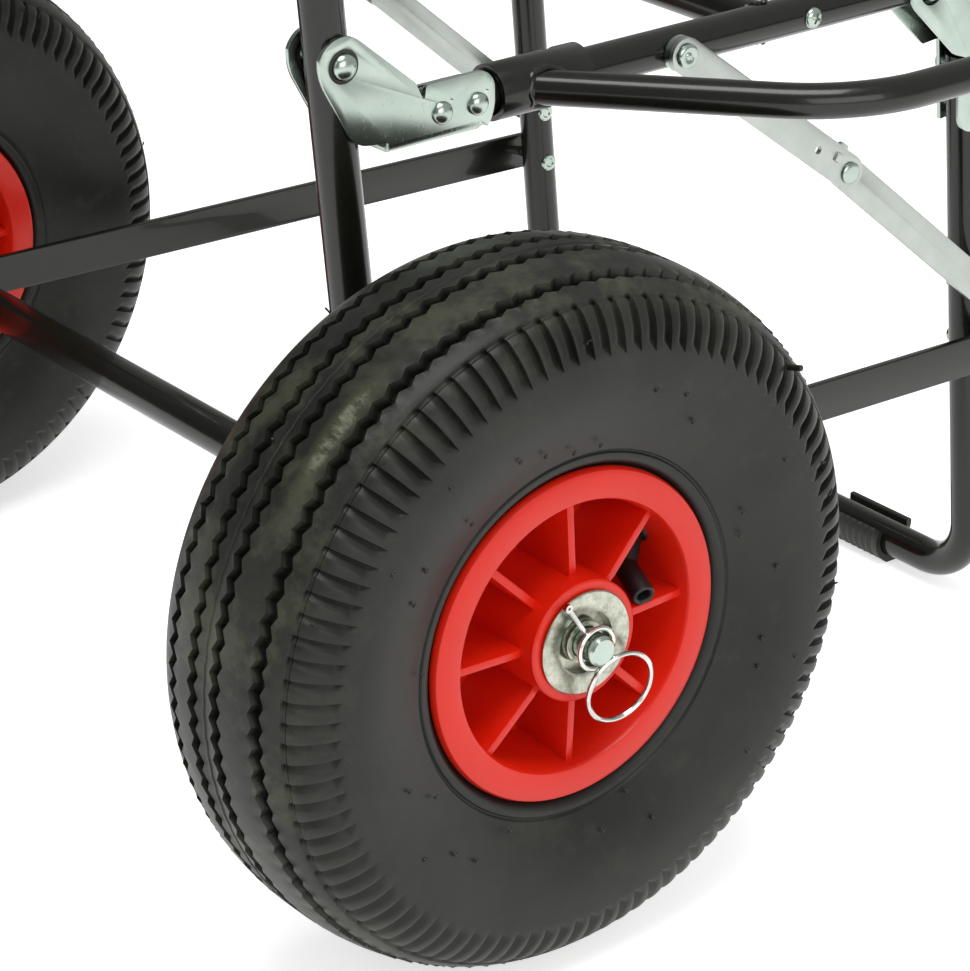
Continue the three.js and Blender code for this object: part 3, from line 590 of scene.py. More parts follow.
# Back frame
def back_frame():
    corners = [on_upright(side, height) for side, height in (
        (1, AXLE_HEIGHT + 2), (1, HANDLE_HEIGHT), (-1, HANDLE_HEIGHT), (-1, AXLE_HEIGHT + 2))]
    tube = bent_tube(corners, UPRIGHT_TUBE, 45, facets=40, bend_steps=16)
    finished("bent_back_tube", tube, BLACK, "back_frame", ["back_tube"])
    brace_end = on_upright(1, BRACE_HEIGHT)
    brace = bent_tube([brace_end, on_upright(-1, BRACE_HEIGHT)], FRAME_TUBE, 0)
    finished("brace_tube", brace, BLACK, "back_frame", ["back_brace"])
    axle = soften(turned(ring(AXLE_BORE, 8, -AXLE_END, AXLE_END), 48), 0.4)
    finished("axle_housing", moved(axle, (0, 0, AXLE_HEIGHT)), BLACK, "back_frame", ["axle_tube"])
    up = on_upright(1, 300) - on_upright(1, 200)
    bead = weld_bead(on_upright(1, AXLE_HEIGHT + 8), up, 8.3, (0, 1, 0), (0, 0, AXLE_HEIGHT), 8.2, 2.2)
    pair("axle_weld", bead, BLACK, "back_frame")
    side = weld_bead(brace_end - Vector((0, 8, 0)), (0, -1, 0), 7.8, (-tan(LEAN), 0, 1), brace_end,
                     8.2, 2.0)
    pair("brace_weld", side, BLACK, "back_frame")


def grip():
    """A foam grip with slightly rounded ends and shallow finger rings."""
    half, radius, bore, rounding, finger = 75.0, 13.0, 8.2, 3, 12.5
    corner = arc(radius - rounding, half - rounding, rounding, 0, 90, 6)
    profile = [(bore, -half)] + [(x, -along) for x, along in corner[::-1]]
    for k in range(1, 60):
        along = (half - rounding) * (k / 30 - 1)
        profile.append((radius - 0.35 * abs(sin(pi * along / finger)) ** 8, along))
    profile += corner + [(bore, half), (bore, -half)]
    top = on_upright(1, HANDLE_HEIGHT)
    foam = moved(turned(profile, 48), (top.x, 0, HANDLE_HEIGHT))
    finished("handle_foam", foam, FOAM, "back_frame", ["handle_grip"])


def two_headed(head):
    """A pin with a head on each side of a bracket's ears."""
    inner = moved(mirrored(head), (0, -EAR, 0))
    shank = turned([(0, -EAR), (3, -EAR), (3, EAR), (0, EAR)], 32)
    return joined(moved(head, (0, EAR, 0)), inner, shank)


def pivot_bolt():
    """A bolt with a dome on each side of the bracket's ears, and a black bush under each."""
    bolt = two_headed(turned(rounded_head(4.8, 3.4, 3, 2), 40))
    pair("back_pivot_bolt", moved(bolt, BACK_PIVOT), ZINC, "back_frame", ["pivot_bolt"])
    bush = soften(turned(ring(4.9, 6.1, EAR - 1.5, EAR + 0.25), 40), 0.15)
    pair("pivot_bush", moved(joined(bush, mirrored(bush)), BACK_PIVOT), PLASTIC, "back_frame")


# Folding brackets
def low_edges(shape, level):
    """The edges below a level that don't run across a channel."""
    return [edge for edge in shape.edges if max(end.co.z for end in edge.verts) < level
            and abs(edge.verts[0].co.y - edge.verts[1].co.y) < 0.01]


def bracket_shape():
    """A channel with two ears and a web, along X with its pivot at nought."""
    outline = [(-9.9, 3.6, 0), *[(x, z, 0) for x, z in arc(0, 0, 10.5, 160, 49.5, 12)],
               (30.3, -11.9, 0.5), (33.4, -18.6, 0.5), (34.3, -18.4, 0.5), (35.0, -13.9, 1.2),
               (65.0, -13.4, 7.5), (64.9, -29.5, 4.2), (60.9, -36.1, 2.5), (19.6, -36.1, 0),
               (18.2, -31.2, 1.0), (4.2, -29.9, 5.0), (-9.9, -3.6, 4.0)]
    outer = plate(outline, -EAR, EAR, 0)
    rounded(outer, low_edges(outer, -34.5), 4.5, 6, clamp=False)
    inner = EAR - 1.8
    channel = plate([(-40, 30, 0), (90, 30, 0), (90, -34.3, 0), (-40, -34.3, 0)], -inner, inner, 0)
    rounded(channel, low_edges(channel, -34), 3.2, 5, clamp=False)
    over_wall = plate([(30.4, -21, 0), (90, -21, 0), (90, 30, 0), (30.4, 30, 0)], -30, 0, 0)
    hole = turned([(0, -20), (6.2, -20), (6.2, 20), (0, 20)], 40)
    marks = [moved(turned([(0, 9.2), (1.3, 10.4), (0, 10.4)], 3), (x, 0, z))
             for x, z in ((45.8, -21.4), (61.4, -21.2))]
    return soften(carved(outer, channel, over_wall, hole, *marks), 0.4, 50)


def bracket_rivets():
    """The two domed rivets of a bracket."""
    heads = []
    for x in (41.6, 57.4):
        head = moved(turned(rounded_head(4.2, 2.8, 2.5, 12, 0.3), 36), (x, EAR, 1.2 - BRACKET_OFFSET))
        heads += [head, mirrored(head)]
    return joined(*heads)


def brackets():
    leg_turn = Matrix((LEG_DOWN, (0, 1, 0), -LEG_AHEAD)).transposed()
    for name, place, turn, body in (("rear", BACK_PIVOT, None, "platform"),
                                    ("leg", LEG_PIVOT, leg_turn, "leg")):
        pair(f"folding_bracket_{name}", moved(bracket_shape(), place, turn), ZINC, body,
             [f"{name}_bracket"])
        pair(f"bracket_rivets_{name}", moved(bracket_rivets(), place, turn), ZINC, body)
    rivet = two_headed(turned(rounded_head(4.3, 2.3, 3, 2, 0.4), 36))
    pair("leg_pivot_rivet", moved(rivet, LEG_PIVOT), ZINC, "platform", ["leg_pivot"])


# Platform
def platform():
    rear = BACK_PIVOT.x + 35.8
    corners = [(x, side * HALF_SPACING, PLATFORM_HEIGHT)
               for x, side in ((rear, 1), (PLATFORM_FRONT, 1), (PLATFORM_FRONT, -1), (rear, -1))]
    finished("bent_platform_tube", bent_tube(corners, FRAME_TUBE, 40), BLACK, "platform", ["platform_tube"])
    start, end = [(CROSS_TUBE_PLACE, side * HALF_SPACING, PLATFORM_HEIGHT) for side in (1, -1)]
    cross = bent_tube([start, end], FRAME_TUBE, 0)
    finished("platform_cross_tube", cross, BLACK, "platform", ["cross_tube"])
    bead = weld_bead(Vector(start) - Vector((0, 7.5, 0)), (0, -1, 0), 7.7, (1, 0, 0), start, 7.6, 2.0)
    pair("cross_tube_weld", bead, BLACK, "platform")
    angle = radians(276)
    out = Vector((0, cos(angle), sin(angle)))
    stops = []
    for x in (STOP_PLACE, SLEEVES_SPAN - STOP_PLACE):
        centre = on_tube(x)
        stops.append(rod(centre + out * 6, centre + out * 10.2, 4, 20))
    pair("stop_pins", joined(*stops), BLACK, "platform")


def cross_recess(width, depth, level):
    """A tool in the shape of a screwdriver's point."""
    half = width / 2
    tools = []
    for angle in (20, 110):
        blade = plate([(-half, -0.55, 0), (half, -0.55, 0), (half, 0.55, 0), (-half, 0.55, 0)],
                      level - depth, level + 4, 0)
        tools.append(moved(blade, (0, 0, 0), Matrix.Rotation(radians(angle), 3, "Y")))
    return tools


def small_fixings():
    """The screw in the platform tube and the top and foot rivets of the stays."""
    screw = turned(rounded_head(4.0, 2.3, 1.8, 3, 0.3), 36)
    screw = carved(screw, *cross_recess(4.2, 1.4, 2.3))
    screw = moved(screw, (205, HALF_SPACING + 7.4, PLATFORM_HEIGHT))
    pair("tube_screw_head", screw, ZINC, "platform", ["tube_screw"])
    top = turned([(0, 14.2), (1.0, 14.1), (1.5, 13.7), (2.1, 14.0), (3.2, 14.3), (4.1, 14.1), (4.6, 13.6),
                  (4.7, 12.8), (3, 12.8), (3, 10.1), (6.8, 10.1), (6.8, 7.6), (3, 7.6), (3, 6.4), (0, 6.4)],
                 40)
    pair("stay_top_rivet", moved(top, STAY_TOP), ZINC, "platform", ["stay_rivet"])
    foot = turned([(0, 11.6), (2.6, 11.4), (3.9, 10.9), (4.3, 10.3), (3, 10.3), (3, 6.4), (0, 6.4)], 40)
    pair("stay_foot_rivet_head", moved(foot, STAY_FOOT), ZINC, "leg", ["stay_foot_rivet"])
    closed_end = turned([(0, -8.0), (1.6, -8.0), (2.2, -8.6), (3.2, -8.7), (3.8, -8.2), (3.9, -7.2),
                         (3, -6.4), (0, -6.4)], 32)
    ends = joined(moved(closed_end.copy(), STAY_FOOT), moved(closed_end, BAR_PIVOT))
    pair("inner_rivet_ends", ends, ZINC, "leg")


# Side bows
def bow():
    angle = radians(48.7)
    reach, near, far = 93.0, 67.7, 382.3
    inset = reach / tan(angle)
    corners = [(near + 2, HALF_SPACING + 2, PLATFORM_HEIGHT),
               (near + inset, HALF_SPACING + reach, PLATFORM_HEIGHT),
               (far - inset, HALF_SPACING + reach, PLATFORM_HEIGHT),
               (far - 2, HALF_SPACING + 2, PLATFORM_HEIGHT)]
    tube = bent_tube(corners, BOW_TUBE, 66, wall=0, facets=36, bend_steps=18)
    bore = rod(on_tube(40), on_tube(410), 20.0, 48)
    tube = carved(tube, bore)
    pair("bow_hoop", tube, BLACK, "bow", ["bow_tube"])
    for name, x, sign in (("rear", near, 1), ("front", far, -1)):
        along = Vector((sign * cos(angle), sin(angle), 0))
        centre = on_tube(x) + along * 12
        host = ((1, 0, 0), on_tube(x), 10.3)
        bead = joined(weld_bead(centre, along, 6.9, *host, 2.6, 7),
                      weld_bead(centre, along, 7.6, *host, 1.5, 11))
        pair(f"bow_weld_{name}", bead, BLACK, "bow")


def slot_tool(x):
    """The slot that runs round a sleeve past its stop pin."""
    start, end, half = radians(96), radians(292), 3.25
    fan = bmesh.new()
    ends = [fan.verts.new((x - half, HALF_SPACING + reach * cos(start),
                           PLATFORM_HEIGHT + reach * sin(start))) for reach in (5, 16)]
    widened = bmesh.ops.extrude_edge_only(fan, edges=[fan.edges.new(ends)])["geom"]
    bmesh.ops.translate(fan, vec=(half * 2, 0, 0), verts=only(bmesh.types.BMVert, widened))
    bmesh.ops.spin(fan, geom=fan.faces[:] + fan.edges[:] + fan.verts[:],
                   cent=on_tube(x), axis=(1, 0, 0), angle=end - start, steps=36)
    return tidy(fan)


def sleeve(start, slot_place):
    shape = turned(ring(8.3, 10.4, start, start + SLEEVE_LENGTH), 56)
    turn = Matrix.Rotation(radians(-90), 3, "Z")
    shape = moved(shape, on_tube(0), turn)
    return soften(carved(shape, slot_tool(slot_place)), 0.35, 50)


def sleeves():
    front_start = SLEEVES_SPAN - SLEEVE_START - SLEEVE_LENGTH
    for name, start, slot_place in (("rear", SLEEVE_START, STOP_PLACE),
                                    ("front", front_start, SLEEVES_SPAN - STOP_PLACE)):
        pair(f"sleeve_{name}", sleeve(start, slot_place), BLACK, "bow", [f"bow_sleeve_{name}"])


# Front leg frame
def leg_frame():
    corners = []
    for side, drop in ((1, LEG_START), (1, LEG_END), (-1, LEG_END), (-1, LEG_START)):
        point = on_leg(drop)
        corners.append((point.x, side * HALF_SPACING, point.z))
    tube = bent_tube(corners, FRAME_TUBE, 27, facets=40, bend_steps=16)
    finished("bent_leg_tube", tube, BLACK, "leg", ["leg_tube"])


def foot_clip():
    """A clip round the bottom tube: ribbed below, plain above, with a tall lip in front."""
    inner, outer = 7.8, 10.5
    start, length = 58.8, 36.0
    rib_start, rib_pitch, rib_depth = 2.5, 3.875, 0.8
    section = [(inner, 6.3), (inner + 0.5, 6.8), (outer - 0.5, 6.8), (outer, 6.3), (outer, 4.0)]
    section += arc(0, 0, outer, 18, -70, 14)
    section += [(3.5, -outer), (-3.5, -outer)]
    section += arc(0, 0, outer, -110, -216, 16)
    section += arc(0, 0, inner, -216, 0, 32)
    shape = bmesh.new()
    shape.faces.new([shape.verts.new((x, start, z)) for x, z in section])
    extruded(shape, (0, length, 0))
    long_edges = [edge for edge in shape.edges if abs(edge.verts[0].co.y - edge.verts[1].co.y) > 30]
    bmesh.ops.subdivide_edges(shape, edges=long_edges, cuts=63, use_grid_fill=True)
    for vert in shape.verts:
        radius = hypot(vert.co.x, vert.co.z)
        along = vert.co.y - start
        angle = degrees(atan2(vert.co.z, vert.co.x))
        if (angle < -8 or angle > 150) and radius > 9.5 and rib_start < along < length - rib_start:
            dip = rib_depth * (0.5 - 0.5 * cos(tau * (along - rib_start) / rib_pitch))
            vert.co.x *= 1 - dip / radius
            vert.co.z *= 1 - dip / radius
    return moved(shape, (FOOT.x, 0, FOOT.z))


def foot_clips():
    pair("ribbed_foot_clip", foot_clip(), PLASTIC, "leg", ["foot_clip"])


# Side bars and stays
def flat_link(start, end, width, inner, outer, edge=0.35, rounding=None):
    """A flat bar between two pivots, which lie half its width from its ends."""
    along = (end - start).normalized()
    above = Vector((-along.z, 0, along.x))
    half = width / 2
    corners = [start - along * half + above * half, end + along * half + above * half,
               end + along * half - above * half, start - along * half - above * half]
    outline = [(corner.x, corner.z, rounding or half) for corner in corners]
    return plate(outline, HALF_SPACING + inner, HALF_SPACING + outer, edge)


def side_bars():
    axle = Vector((0, HALF_SPACING, AXLE_HEIGHT))
    bar = flat_link(axle, BAR_PIVOT, 16.5, 12.8, 15.8, 0.4, 6.5)
    bar = carved(bar, rod(axle, axle + Vector((0, 40, 0)), 21.4, 40))
    pair("flat_side_bar", bar, BLACK, "bar", ["side_bar"])
    collar = soften(turned(ring(8.3, 10.8, 149.8, 161.2), 56), 0.5)
    pair("side_bar_sleeve", moved(collar, (0, 0, AXLE_HEIGHT)), BLACK, "bar", ["bar_sleeve"])
    rivet = turned([(0, 17.9), (2.6, 17.6), (3.9, 17.0), (4.3, 16.1), (2.3, 16.1), (2.3, 7.9),
                    (0, 7.9)], 36)
    pair("side_bar_rivet", moved(rivet, BAR_PIVOT), ZINC, "bar", ["bar_rivet"])


def stays():
    along = (KNEE - STAY_TOP).normalized()
    above = Vector((-along.z, 0, along.x))

    def small_plate(back, aside, corners, rounding, inner, outer, edge):
        """A small plate on the upper link, placed from the knee."""
        middle = KNEE - along * back + above * aside
        outline = [middle + along * a + above * b for a, b in corners]
        return plate([(corner.x, corner.z, rounding) for corner in outline], HALF_SPACING + inner,
                     HALF_SPACING + outer, edge)

    upper = flat_link(STAY_TOP, KNEE, 13.6, 10.3, 12.5)
    through = Vector((0, 30, 0))
    stop_hole = KNEE - along * 21.4
    upper = carved(upper, rod(stop_hole, stop_hole + through, 3.2, 24),
                   rod(STAY_TOP, STAY_TOP + through, 6.5, 24))
    stop_tab = small_plate(9.4, 5.0, ((-3.2, -4), (2.8, -4), (2.2, 3.2), (-2.2, 3.2)), 0.8,
                           10.35, 12.45, 0.3)
    raised = small_plate(9.6, 2.2, ((-2.0, -1.9), (1.6, -1.9), (1.6, 1.9), (-2.0, 1.9)), 0.7,
                         12.3, 13.5, 0.35)
    pair("upper_stay_link", joined(upper, stop_tab, raised), STAY_ZINC, "upper_stay", ["upper_stay"])
    lower = flat_link(KNEE, STAY_FOOT, 13.6, 7.8, 10.0)
    pair("lower_stay_link", lower, STAY_ZINC, "lower_stay", ["lower_stay"])
    rivet = turned([(0, 14.1), (2.6, 14.05), (3.8, 13.8), (4.3, 13.3), (4.35, 12.7), (2.4, 12.6),
                    (2.4, 10.4), (0, 10.4)], 40)
    pair("knee_rivet_head", moved(rivet, KNEE), ZINC, "upper_stay", ["knee_rivet"])


# Wheels, drawn round the Y axis with the outer side at its positive end
TREAD_WAVES, WAVE_STEPS = 100, 8
OUTER_GROOVES, INNER_GROOVES = (6.5, 24.9), (6.3, 20.8)
GROOVE_DEPTH, GROOVE_MOUTH, GROOVE_FLOOR, GROOVE_WAVE = 3.5, 2.2, 1.5, 1.2
SHOULDER_EDGE, TOOTH_TIP, TOOTH_DEPTH = 32.8, 42.95, 2.3
SIDEWALL = 43.15
STUB_ANGLE, STUB_OFFSET = radians(39.5), 36.0
PIN_HOLE_ANGLE, PIN_HOLE_PLACE = radians(122), Vector((0, 43.5, 0))


def outward(angle):
    """The direction at an angle round the wheel."""
    return Vector((cos(angle), 0, sin(angle)))


def crown(offset):
    """The tyre's radius at an offset from its middle."""
    share = max(1 - (abs(offset) / CROWN_HALF) ** CROWN_EXPONENT, 0)
    return CROWN_BASE + CROWN_RISE * share ** (1 / CROWN_EXPONENT)


def spread(start, end, count):
    """Places on the crown between two offsets."""
    return [(crown(start + (end - start) * k / count), start + (end - start) * k / count)
            for k in range(1, count)]


def tyre_half(grooves):
    """Half of the tyre's profile, from the middle of the tread to the bead: (radius, offset)."""
    points = [(crown(0.0) - 0.03, 0.0), (crown(0.3) - 0.08, 0.3), (crown(0.6) - 0.45, 0.6),
              (crown(2.5) - 0.3, 2.5)]
    first, second = grooves
    for middle, after, count in ((first, second - GROOVE_MOUTH, 5), (second, SHOULDER_EDGE, 4)):
        near, far = middle - GROOVE_MOUTH, middle + GROOVE_MOUTH
        floor_radius = crown(middle) - GROOVE_DEPTH
        points += [(crown(near), near), (floor_radius, middle - GROOVE_FLOOR),
                   (floor_radius, middle + GROOVE_FLOOR), (crown(far), far)]
        points += spread(far, after, count)
    edge = SHOULDER_EDGE
    points += [(crown(edge - 0.4), edge - 0.4), (crown(edge) - 0.15, edge),
               (crown(edge + 0.25) - 1.0, edge + 0.2), (crown(edge + 0.8) - 1.1, edge + 0.8),
               (crown(edge + 1.5) - 0.45, edge + 1.5), (crown(edge + 2.4) - 0.1, edge + 2.4)]
    points += [(crown(offset), offset)
               for offset in (36.6, 38.0, 39.2, 40.2, 41.0, 41.6, 42.1, 42.4, 42.65, 42.85, TOOTH_TIP)]
    points += [(103.0, 43.05), (100.0, SIDEWALL), (96.5, SIDEWALL), (92.5, 42.85), (88.5, 42.2),
               (84.5, 41.2), (80.5, 40.0), (77.0, 38.75), (74.0, 37.5), (71.5, 36.35), (69.5, 35.4),
               (68.0, 34.75), (67.4, 33.9), (66.9, 33.7), (66.3, 34.3), (64.9, 34.3), (63.6, 33.7),
               (62.5, 32.5), (61.6, 31.2), (61.35, 30.2), (54.5, 29.2), (54.5, 21.0)]
    return points


def triangle_wave(phase):
    return 1 - 4 * abs((phase % 1) - 0.5)


def tooth(vert, phase, offset, side):
    """Sinks one vertex between two bars of the shoulder: a steep wall, a ramp and a pointed end."""
    root, tip = crown(SHOULDER_EDGE), crown(TOOTH_TIP)
    share = min(max((root - crown(offset)) / (root - tip), 0), 1)
    closing = min((1 - share) / 0.2, 1)
    width = (0.3 + 0.25 * share) * closing + 0.01
    places = [0.0, 0.05 * closing + 0.005, 0.01 + width * 0.45, 0.02 + width, 0.04 + width * 1.15]
    spare = 1 - places[-1]
    places += [places[-1] + spare * k / 4 for k in (1, 2, 3)]
    sunk = [0.12, 1.0, 0.85, 0.16, 0.05, 0.0, 0.0, 0.04]
    step = round(phase * WAVE_STEPS) % WAVE_STEPS
    slope_out = (offset / CROWN_HALF) ** (CROWN_EXPONENT - 1) / CROWN_HALF
    slope_up = (max(crown(offset) - CROWN_BASE, 0) / CROWN_RISE) ** (CROWN_EXPONENT - 1) / CROWN_RISE
    length = hypot(slope_out, slope_up)
    depth = TOOTH_DEPTH * sunk[step] * min(0.55 + 1.5 * share, 1) * closing
    turn = tau / TREAD_WAVES * (places[step] - step / WAVE_STEPS)
    radius = hypot(vert.co.x, vert.co.z) - depth * slope_up / length
    angle = atan2(vert.co.z, vert.co.x) + turn
    vert.co = (radius * cos(angle), side * (offset - depth * slope_out / length),
               radius * sin(angle))


def tyre_shape():
    """One wave of the tread with its grooves and shoulder bar, repeated round the wheel."""
    half = tyre_half(OUTER_GROOVES)
    lining = [(half[-1][0], -14.0), (half[-1][0], 14.0)]
    profile = half[::-1] + [(radius, -offset) for radius, offset in tyre_half(INNER_GROOVES)[1:]]
    profile += lining
    shape = bmesh.new()
    chain = [shape.verts.new((radius, offset, 0)) for radius, offset in profile]
    edges = [shape.edges.new(ends) for ends in zip(chain, chain[1:] + chain[:1])]
    bmesh.ops.spin(shape, geom=chain + edges, cent=(0, 0, 0), axis=(0, 1, 0),
                   angle=tau / TREAD_WAVES, steps=WAVE_STEPS, use_merge=False)
    for vert in shape.verts:
        offset, side = abs(vert.co.y), copysign(1, vert.co.y)
        if hypot(vert.co.x, vert.co.z) < 100:
            continue
        phase = (atan2(vert.co.z, vert.co.x) * TREAD_WAVES / tau) % 1
        grooves = OUTER_GROOVES if side > 0 else INNER_GROOVES
        if min(abs(offset - middle) for middle in grooves) < GROOVE_MOUTH + 0.1:
            vert.co.y += GROOVE_WAVE * triangle_wave(phase)
        elif offset < 0.7:
            vert.co.y += 0.25 * triangle_wave(phase)
        elif SHOULDER_EDGE + 0.05 < offset <= TOOTH_TIP + 0.001:
            tooth(vert, phase, offset, side)
    bmesh.ops.spin(shape, geom=shape.verts[:] + shape.edges[:] + shape.faces[:], cent=(0, 0, 0),
                   axis=(0, 1, 0), angle=tau, steps=TREAD_WAVES, use_duplicate=True)
    return tidy(shape, 0.02)


def rubber_hairs():
    """The small moulding hairs and vent studs that a new tyre keeps, and one thick stub."""
    chance = random.Random(4)
    parts = []
    for _ in range(30):
        angle = radians(chance.uniform(0, 360))
        radius = chance.choice((70.5, 76, 84, 92, 98)) + chance.uniform(-2, 2)
        offset = SIDEWALL - 0.0095 * max(0, 97 - radius) ** 1.92
        stud = turned([(0, 0.7), (0.6, 0.55), (0.95, 0), (0, -0.5)], 8)
        parts.append(moved(stud, outward(angle) * radius + Vector((0, offset, 0))))
    for _ in range(26):
        angle = radians(chance.uniform(-60, 160))
        offset = chance.choice((-38, -21.5, -3.2, 3.4, 14.5, 20.5, 38.5, 41.5))
        length = chance.uniform(1.2, 3.4)
        out = outward(angle)
        tilt = Vector((chance.uniform(-1, 1), chance.uniform(-1, 1), chance.uniform(-1, 1)))
        root = out * (crown(offset) - 0.3) + Vector((0, offset, 0))
        parts.append(wire([root, root + out * length * 0.4, root + (out + tilt * 0.3) * length * 0.7,
                           root + (out + tilt * 0.6) * length], 0.7))
    out = outward(STUB_ANGLE)
    root = out * (crown(STUB_OFFSET) - 0.5) + Vector((0, STUB_OFFSET, 0))
    lean = out * 0.3 + Vector((0, 0.95, 0))
    parts.append(wire([root + lean * length for length in (0, 1.8, 3.8, 5.6)], 2.2))
    return joined(*parts)


def rim_shape():
    """A moulded rim: its outer flange, dish, hub and eight ribs on each side."""
    hub, rib_half = 22.2, 1.45
    half = [(13.2, 37.9), (21.6, 37.9), (hub, 37.3), (22.6, 3.4), (24.2, 2.0), (46.2, 2.0), (47.8, 3.4),
            (49.6, 33.2), (50.4, 34.4), (51.6, 34.8), (58.6, 34.8), (60.3, 34.2), (61.1, 32.9), (61.1, 31.4),
            (60.4, 30.6), (54.4, 29.0), (54.2, 12.0)]
    profile = half + [(radius, -offset) for radius, offset in half[::-1]]
    barrel = turned(profile + profile[:1], 128)
    outline = [(hub - 0.5, 1.0), (49.6, 1.0), (50.6, 29.6), (48.4, 30.2), (24.5, 31.6), (hub - 0.5, 31.2)]
    ribs = []
    for k in range(8):
        blade = bmesh.new()
        blade.faces.new([blade.verts.new((x, y, -rib_half)) for x, y in outline])
        soften(extruded(blade, (0, 0, 2 * rib_half)), 0.35)
        moved(blade, (0, 0, 0), Matrix.Rotation(radians(45 * k), 3, "Y"))
        ribs += [mirrored(blade), blade]
    return joined(barrel, *ribs)


def bearing_shape(outer):
    """A pressed cup with its flange, the shield over the balls and the inner ring."""
    cup = [(10.9, 30.0), (12.9, 28.6), (12.9, 37.6), (13.6, 38.3), (18.4, 38.3), (19.0, 38.6), (19.0, 39.1),
           (18.6, 39.5), (12.6, 39.5), (11.5, 38.9), (11.3, 37.9), (11.2, 31.2), (9.4, 30.6), (9.4, 29.6),
           (10.9, 30.0)]
    cone = [(5.6, 29.4), (8.4, 29.4), (8.4, 34.0), (7.6, 35.4), (7.9, 36.4), (7.7, 38.2), (6.9, 38.6),
            (5.9, 38.5), (5.6, 38.2), (5.6, 29.4)]
    shield = [(8.1, 33.4), (11.3, 33.9), (11.3, 34.5), (8.1, 34.1), (8.1, 33.4)]
    shape = joined(turned(cup, 72), turned(cone, 56), turned(shield, 56))
    return shape if outer else mirrored(shape)


def axle_pin_shape():
    """The wheel's pin, with the cross hole for its ring clip."""
    pin = turned([(0, -102.1), (5.4, -102.1), (5.4, 47.4), (4.5, 48.5), (0, 48.5)], 48)
    reach = outward(PIN_HOLE_ANGLE) * 9
    return carved(pin, rod(PIN_HOLE_PLACE - reach, PIN_HOLE_PLACE + reach, 2.5, 20))


def clip_shape():
    """The ring clip: a leg through the pin, a loop round the pin's end and a large pull loop."""
    along, across = outward(PIN_HOLE_ANGLE), outward(PIN_HOLE_ANGLE + pi / 2)
    small, middle, pull = 7.6, -19.8, 13.2

    def at(a, b, rise):
        return PIN_HOLE_PLACE + along * a + across * b + Vector((0, rise, 0))

    points = [at(21.5, 0.2, 0), at(14, 0, 0), at(6.4, 0, 0), at(0, 0, 0), at(-5.4, 0, 0)]
    for k in range(17):
        turn = radians(200 + 322 * k / 16)
        points.append(at(small * cos(turn), small * sin(turn), 1.2 * min(1, (k + 1) / 5)))
    for k in range(27):
        turn = radians(52 + 372 * k / 26)
        rise = 2.0 + pull * (0.07 * cos(turn) - 0.13 * sin(turn))
        points.append(at(middle + pull * cos(turn), pull * sin(turn) + 1.1, rise))
    eye = turned([(0.55, -0.9), (1.5, -0.9), (1.6, 0), (1.5, 0.9), (0.55, 0.9), (0.55, -0.9)], 20)
    return joined(wire(points, 1.9), moved(eye, at(21.8, 0.2, 0)))


def valve_shape():
    """A rubber elbow from the rim, with a dished cap turned outward."""
    def at(angle, distance, reach):
        return outward(radians(angle)) * distance + Vector((0, reach, 0))

    root, throat, bend, cap = at(24, 53, 12), at(24, 46, 12), at(16.5, 36, 18), at(9.3, 31.8, 32)
    facing = (cap - bend).normalized()
    stem = bent_tube([root, throat, bend, cap - facing * 4], 8.6, 5, wall=0, facets=28, bend_steps=8)
    skirt = turned([(3.2, -9), (4.2, -8.4), (4.3, -1.4), (4.1, 0.1), (3.5, 0.5), (2.8, 0.2), (2.4, -0.4),
                    (2.2, -3.2), (0, -3.4)], 32)
    turn = facing.to_track_quat("Y", "Z").to_matrix()
    boss = turned([(0, 2.4), (5.2, 2.2), (6.0, 1.2), (6.2, -1.5), (0, -1.5)], 32)
    inward = (throat - root).normalized().to_track_quat("Y", "Z").to_matrix()
    return joined(stem, moved(skirt, cap, turn), moved(boss, at(24, 50.0, 12), inward))


def wheel():
    hub = Vector((0, HALF_TRACK, AXLE_HEIGHT))
    pair("tread_tyre", moved(tyre_shape(), hub), RUBBER, "wheel", ["tyre"], 30)
    pair("tyre_hairs", moved(rubber_hairs(), hub), RUBBER, "wheel")
    pair("moulded_rim", moved(rim_shape(), hub), RED, "wheel", ["rim"])
    pair("outer_bearing", moved(bearing_shape(True), hub), HUB_ZINC, "wheel", ["bearing_outer"])
    pair("inner_bearing", moved(bearing_shape(False), hub), HUB_ZINC, "wheel", ["bearing_inner"])
    pair("valve_stem", moved(valve_shape(), hub), VALVE, "wheel", ["valve"])
    pair("wheel_pin", moved(axle_pin_shape(), hub), ZINC, "back_frame", ["axle_pin"])
    pair("pin_ring_clip", moved(clip_shape(), hub), WIRE_ZINC, "back_frame", ["ring_clip"])
    washer = soften(turned(ring(AXLE_BORE, 14, AXLE_END + 0.3, AXLE_END + 2.3), 48), 0.3)
    pair("pin_washer", moved(washer, (0, 0, AXLE_HEIGHT)), ZINC, "back_frame", ["axle_washer"])


back_frame()
grip()
pivot_bolt()
brackets()
platform()
small_fixings()
bow()
sleeves()
leg_frame()
foot_clips()
side_bars()
stays()
wheel()


# Camera, floor and light
def camera():
    """The camera that was fitted to the photograph."""
    lens = bpy.data.cameras.new("camera")
    lens.lens = 132.19
    lens.sensor_width = 36
    lens.clip_end = 50
    item = placed("camera", lens)
    forward = Vector((0.55583, 0.71706, -0.42057))
    right = Vector((0.78875, -0.61469, -0.00562))
    up = Vector((0.26255, 0.3286, 0.90724))
    turn = Matrix((right, up, -forward)).transposed().to_4x4()
    item.matrix_world = Matrix.Translation(Vector((-842.81, -1093.52, 686.92)) * MM) @ turn
    bpy.context.scene.camera = item


def seen_directly(nodes):
    """One where the camera sees a surface straight, in a mirror or through glass."""
    total = nodes.add("LightPath", {}, "Is Camera Ray")
    for kind in ("Is Glossy Ray", "Is Transmission Ray"):
        ray = nodes.add("LightPath", {}, kind)
        total = nodes.add("Math", {0: total, 1: ray}, operation="ADD", use_clamp=True)
    return total


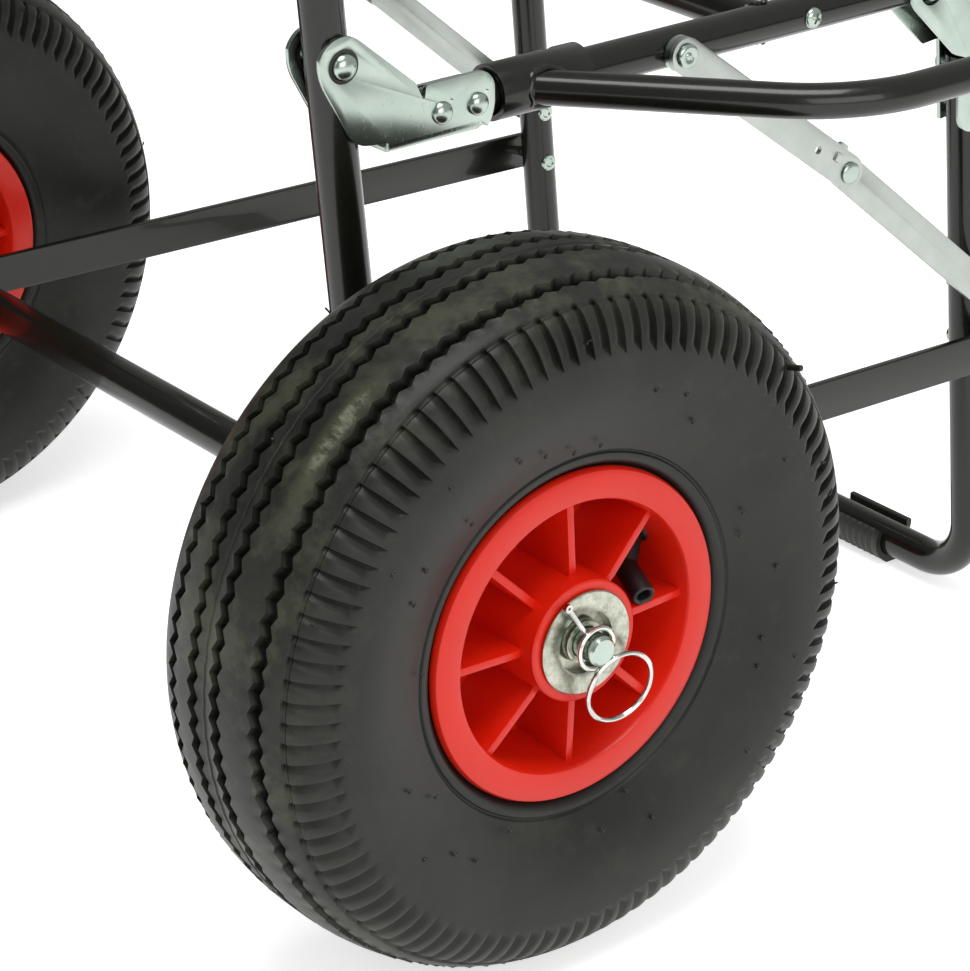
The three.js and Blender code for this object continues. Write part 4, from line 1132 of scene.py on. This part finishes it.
def floor():
    """A pale floor that glows a little where it is seen directly."""
    shape = bmesh.new()
    bmesh.ops.create_grid(shape, x_segments=1, y_segments=1, size=6)
    mesh = meshed("floor", shape)
    item = placed("floor", mesh)
    material = bpy.data.materials.new("pale_floor")
    material.use_nodes = True
    nodes = Nodes(material.node_tree)
    shader = nodes.tree.nodes["Principled BSDF"]
    for name, value in (("Base Color", (0.9, 0.9, 0.9, 1)), ("Roughness", 0.9),
                        ("Specular IOR Level", 0.1)):
        nodes.feed(shader.inputs[name], value)
    matt = Signal(nodes, shader.outputs[0])
    glow = nodes.add("Emission", {"Strength": 0.6})
    glowing = nodes.add("AddShader", {0: matt, 1: glow})
    mix = nodes.add("MixShader", {0: seen_directly(nodes), 1: matt, 2: glowing})
    nodes.feed(nodes.tree.nodes["Material Output"].inputs["Surface"], mix)
    mesh.materials.append(material)


def world():
    """A white room, which lights the trolley less from the left of the picture."""
    sky = bpy.data.worlds.new("studio")
    sky.use_nodes = True
    nodes = Nodes(sky.node_tree)
    background = nodes.tree.nodes["Background"]
    background.inputs["Color"].default_value = (1, 1, 1, 1)
    direction = nodes.add("TexCoord", {}, "Generated")
    rightward = nodes.add("VectorMath", {0: direction, 1: (0.789, -0.615, 0.0)}, "Value",
                          operation="DOT_PRODUCT")
    around = nodes.add("MapRange", {"Value": rightward, "From Min": -1.0, "From Max": 0.5,
                                    "To Min": 0.12, "To Max": 0.56})
    straight = nodes.add("LightPath", {}, "Is Camera Ray")
    strength = nodes.add("MapRange", {"Value": straight, "To Min": around, "To Max": 1.0})
    nodes.feed(background.inputs["Strength"], strength)
    bpy.context.scene.world = sky


def lamp(name, place, aim, size, power):
    light = bpy.data.lights.new(name, "AREA")
    light.shape = "RECTANGLE"
    light.size, light.size_y = size
    light.energy = power
    item = placed(name, light)
    item.location = place
    item.rotation_euler = (Vector(aim) - Vector(place)).to_track_quat("-Z", "Y").to_euler()


def studio():
    floor()
    world()
    lamp("top_softbox", (-0.5, -0.6, 2.6), (0, 0, 0.2), (1.8, 1.2), 44)
    lamp("left_softbox", (-2.2, 0.3, 1.4), (0, 0, 0.2), (0.9, 1.6), 7)
    lamp("front_softbox", (-0.6, -2.6, 1.1), (0, 0, 0.2), (2.0, 1.4), 20)
    bpy.context.scene.view_settings.view_transform = "Standard"


camera()
studio()
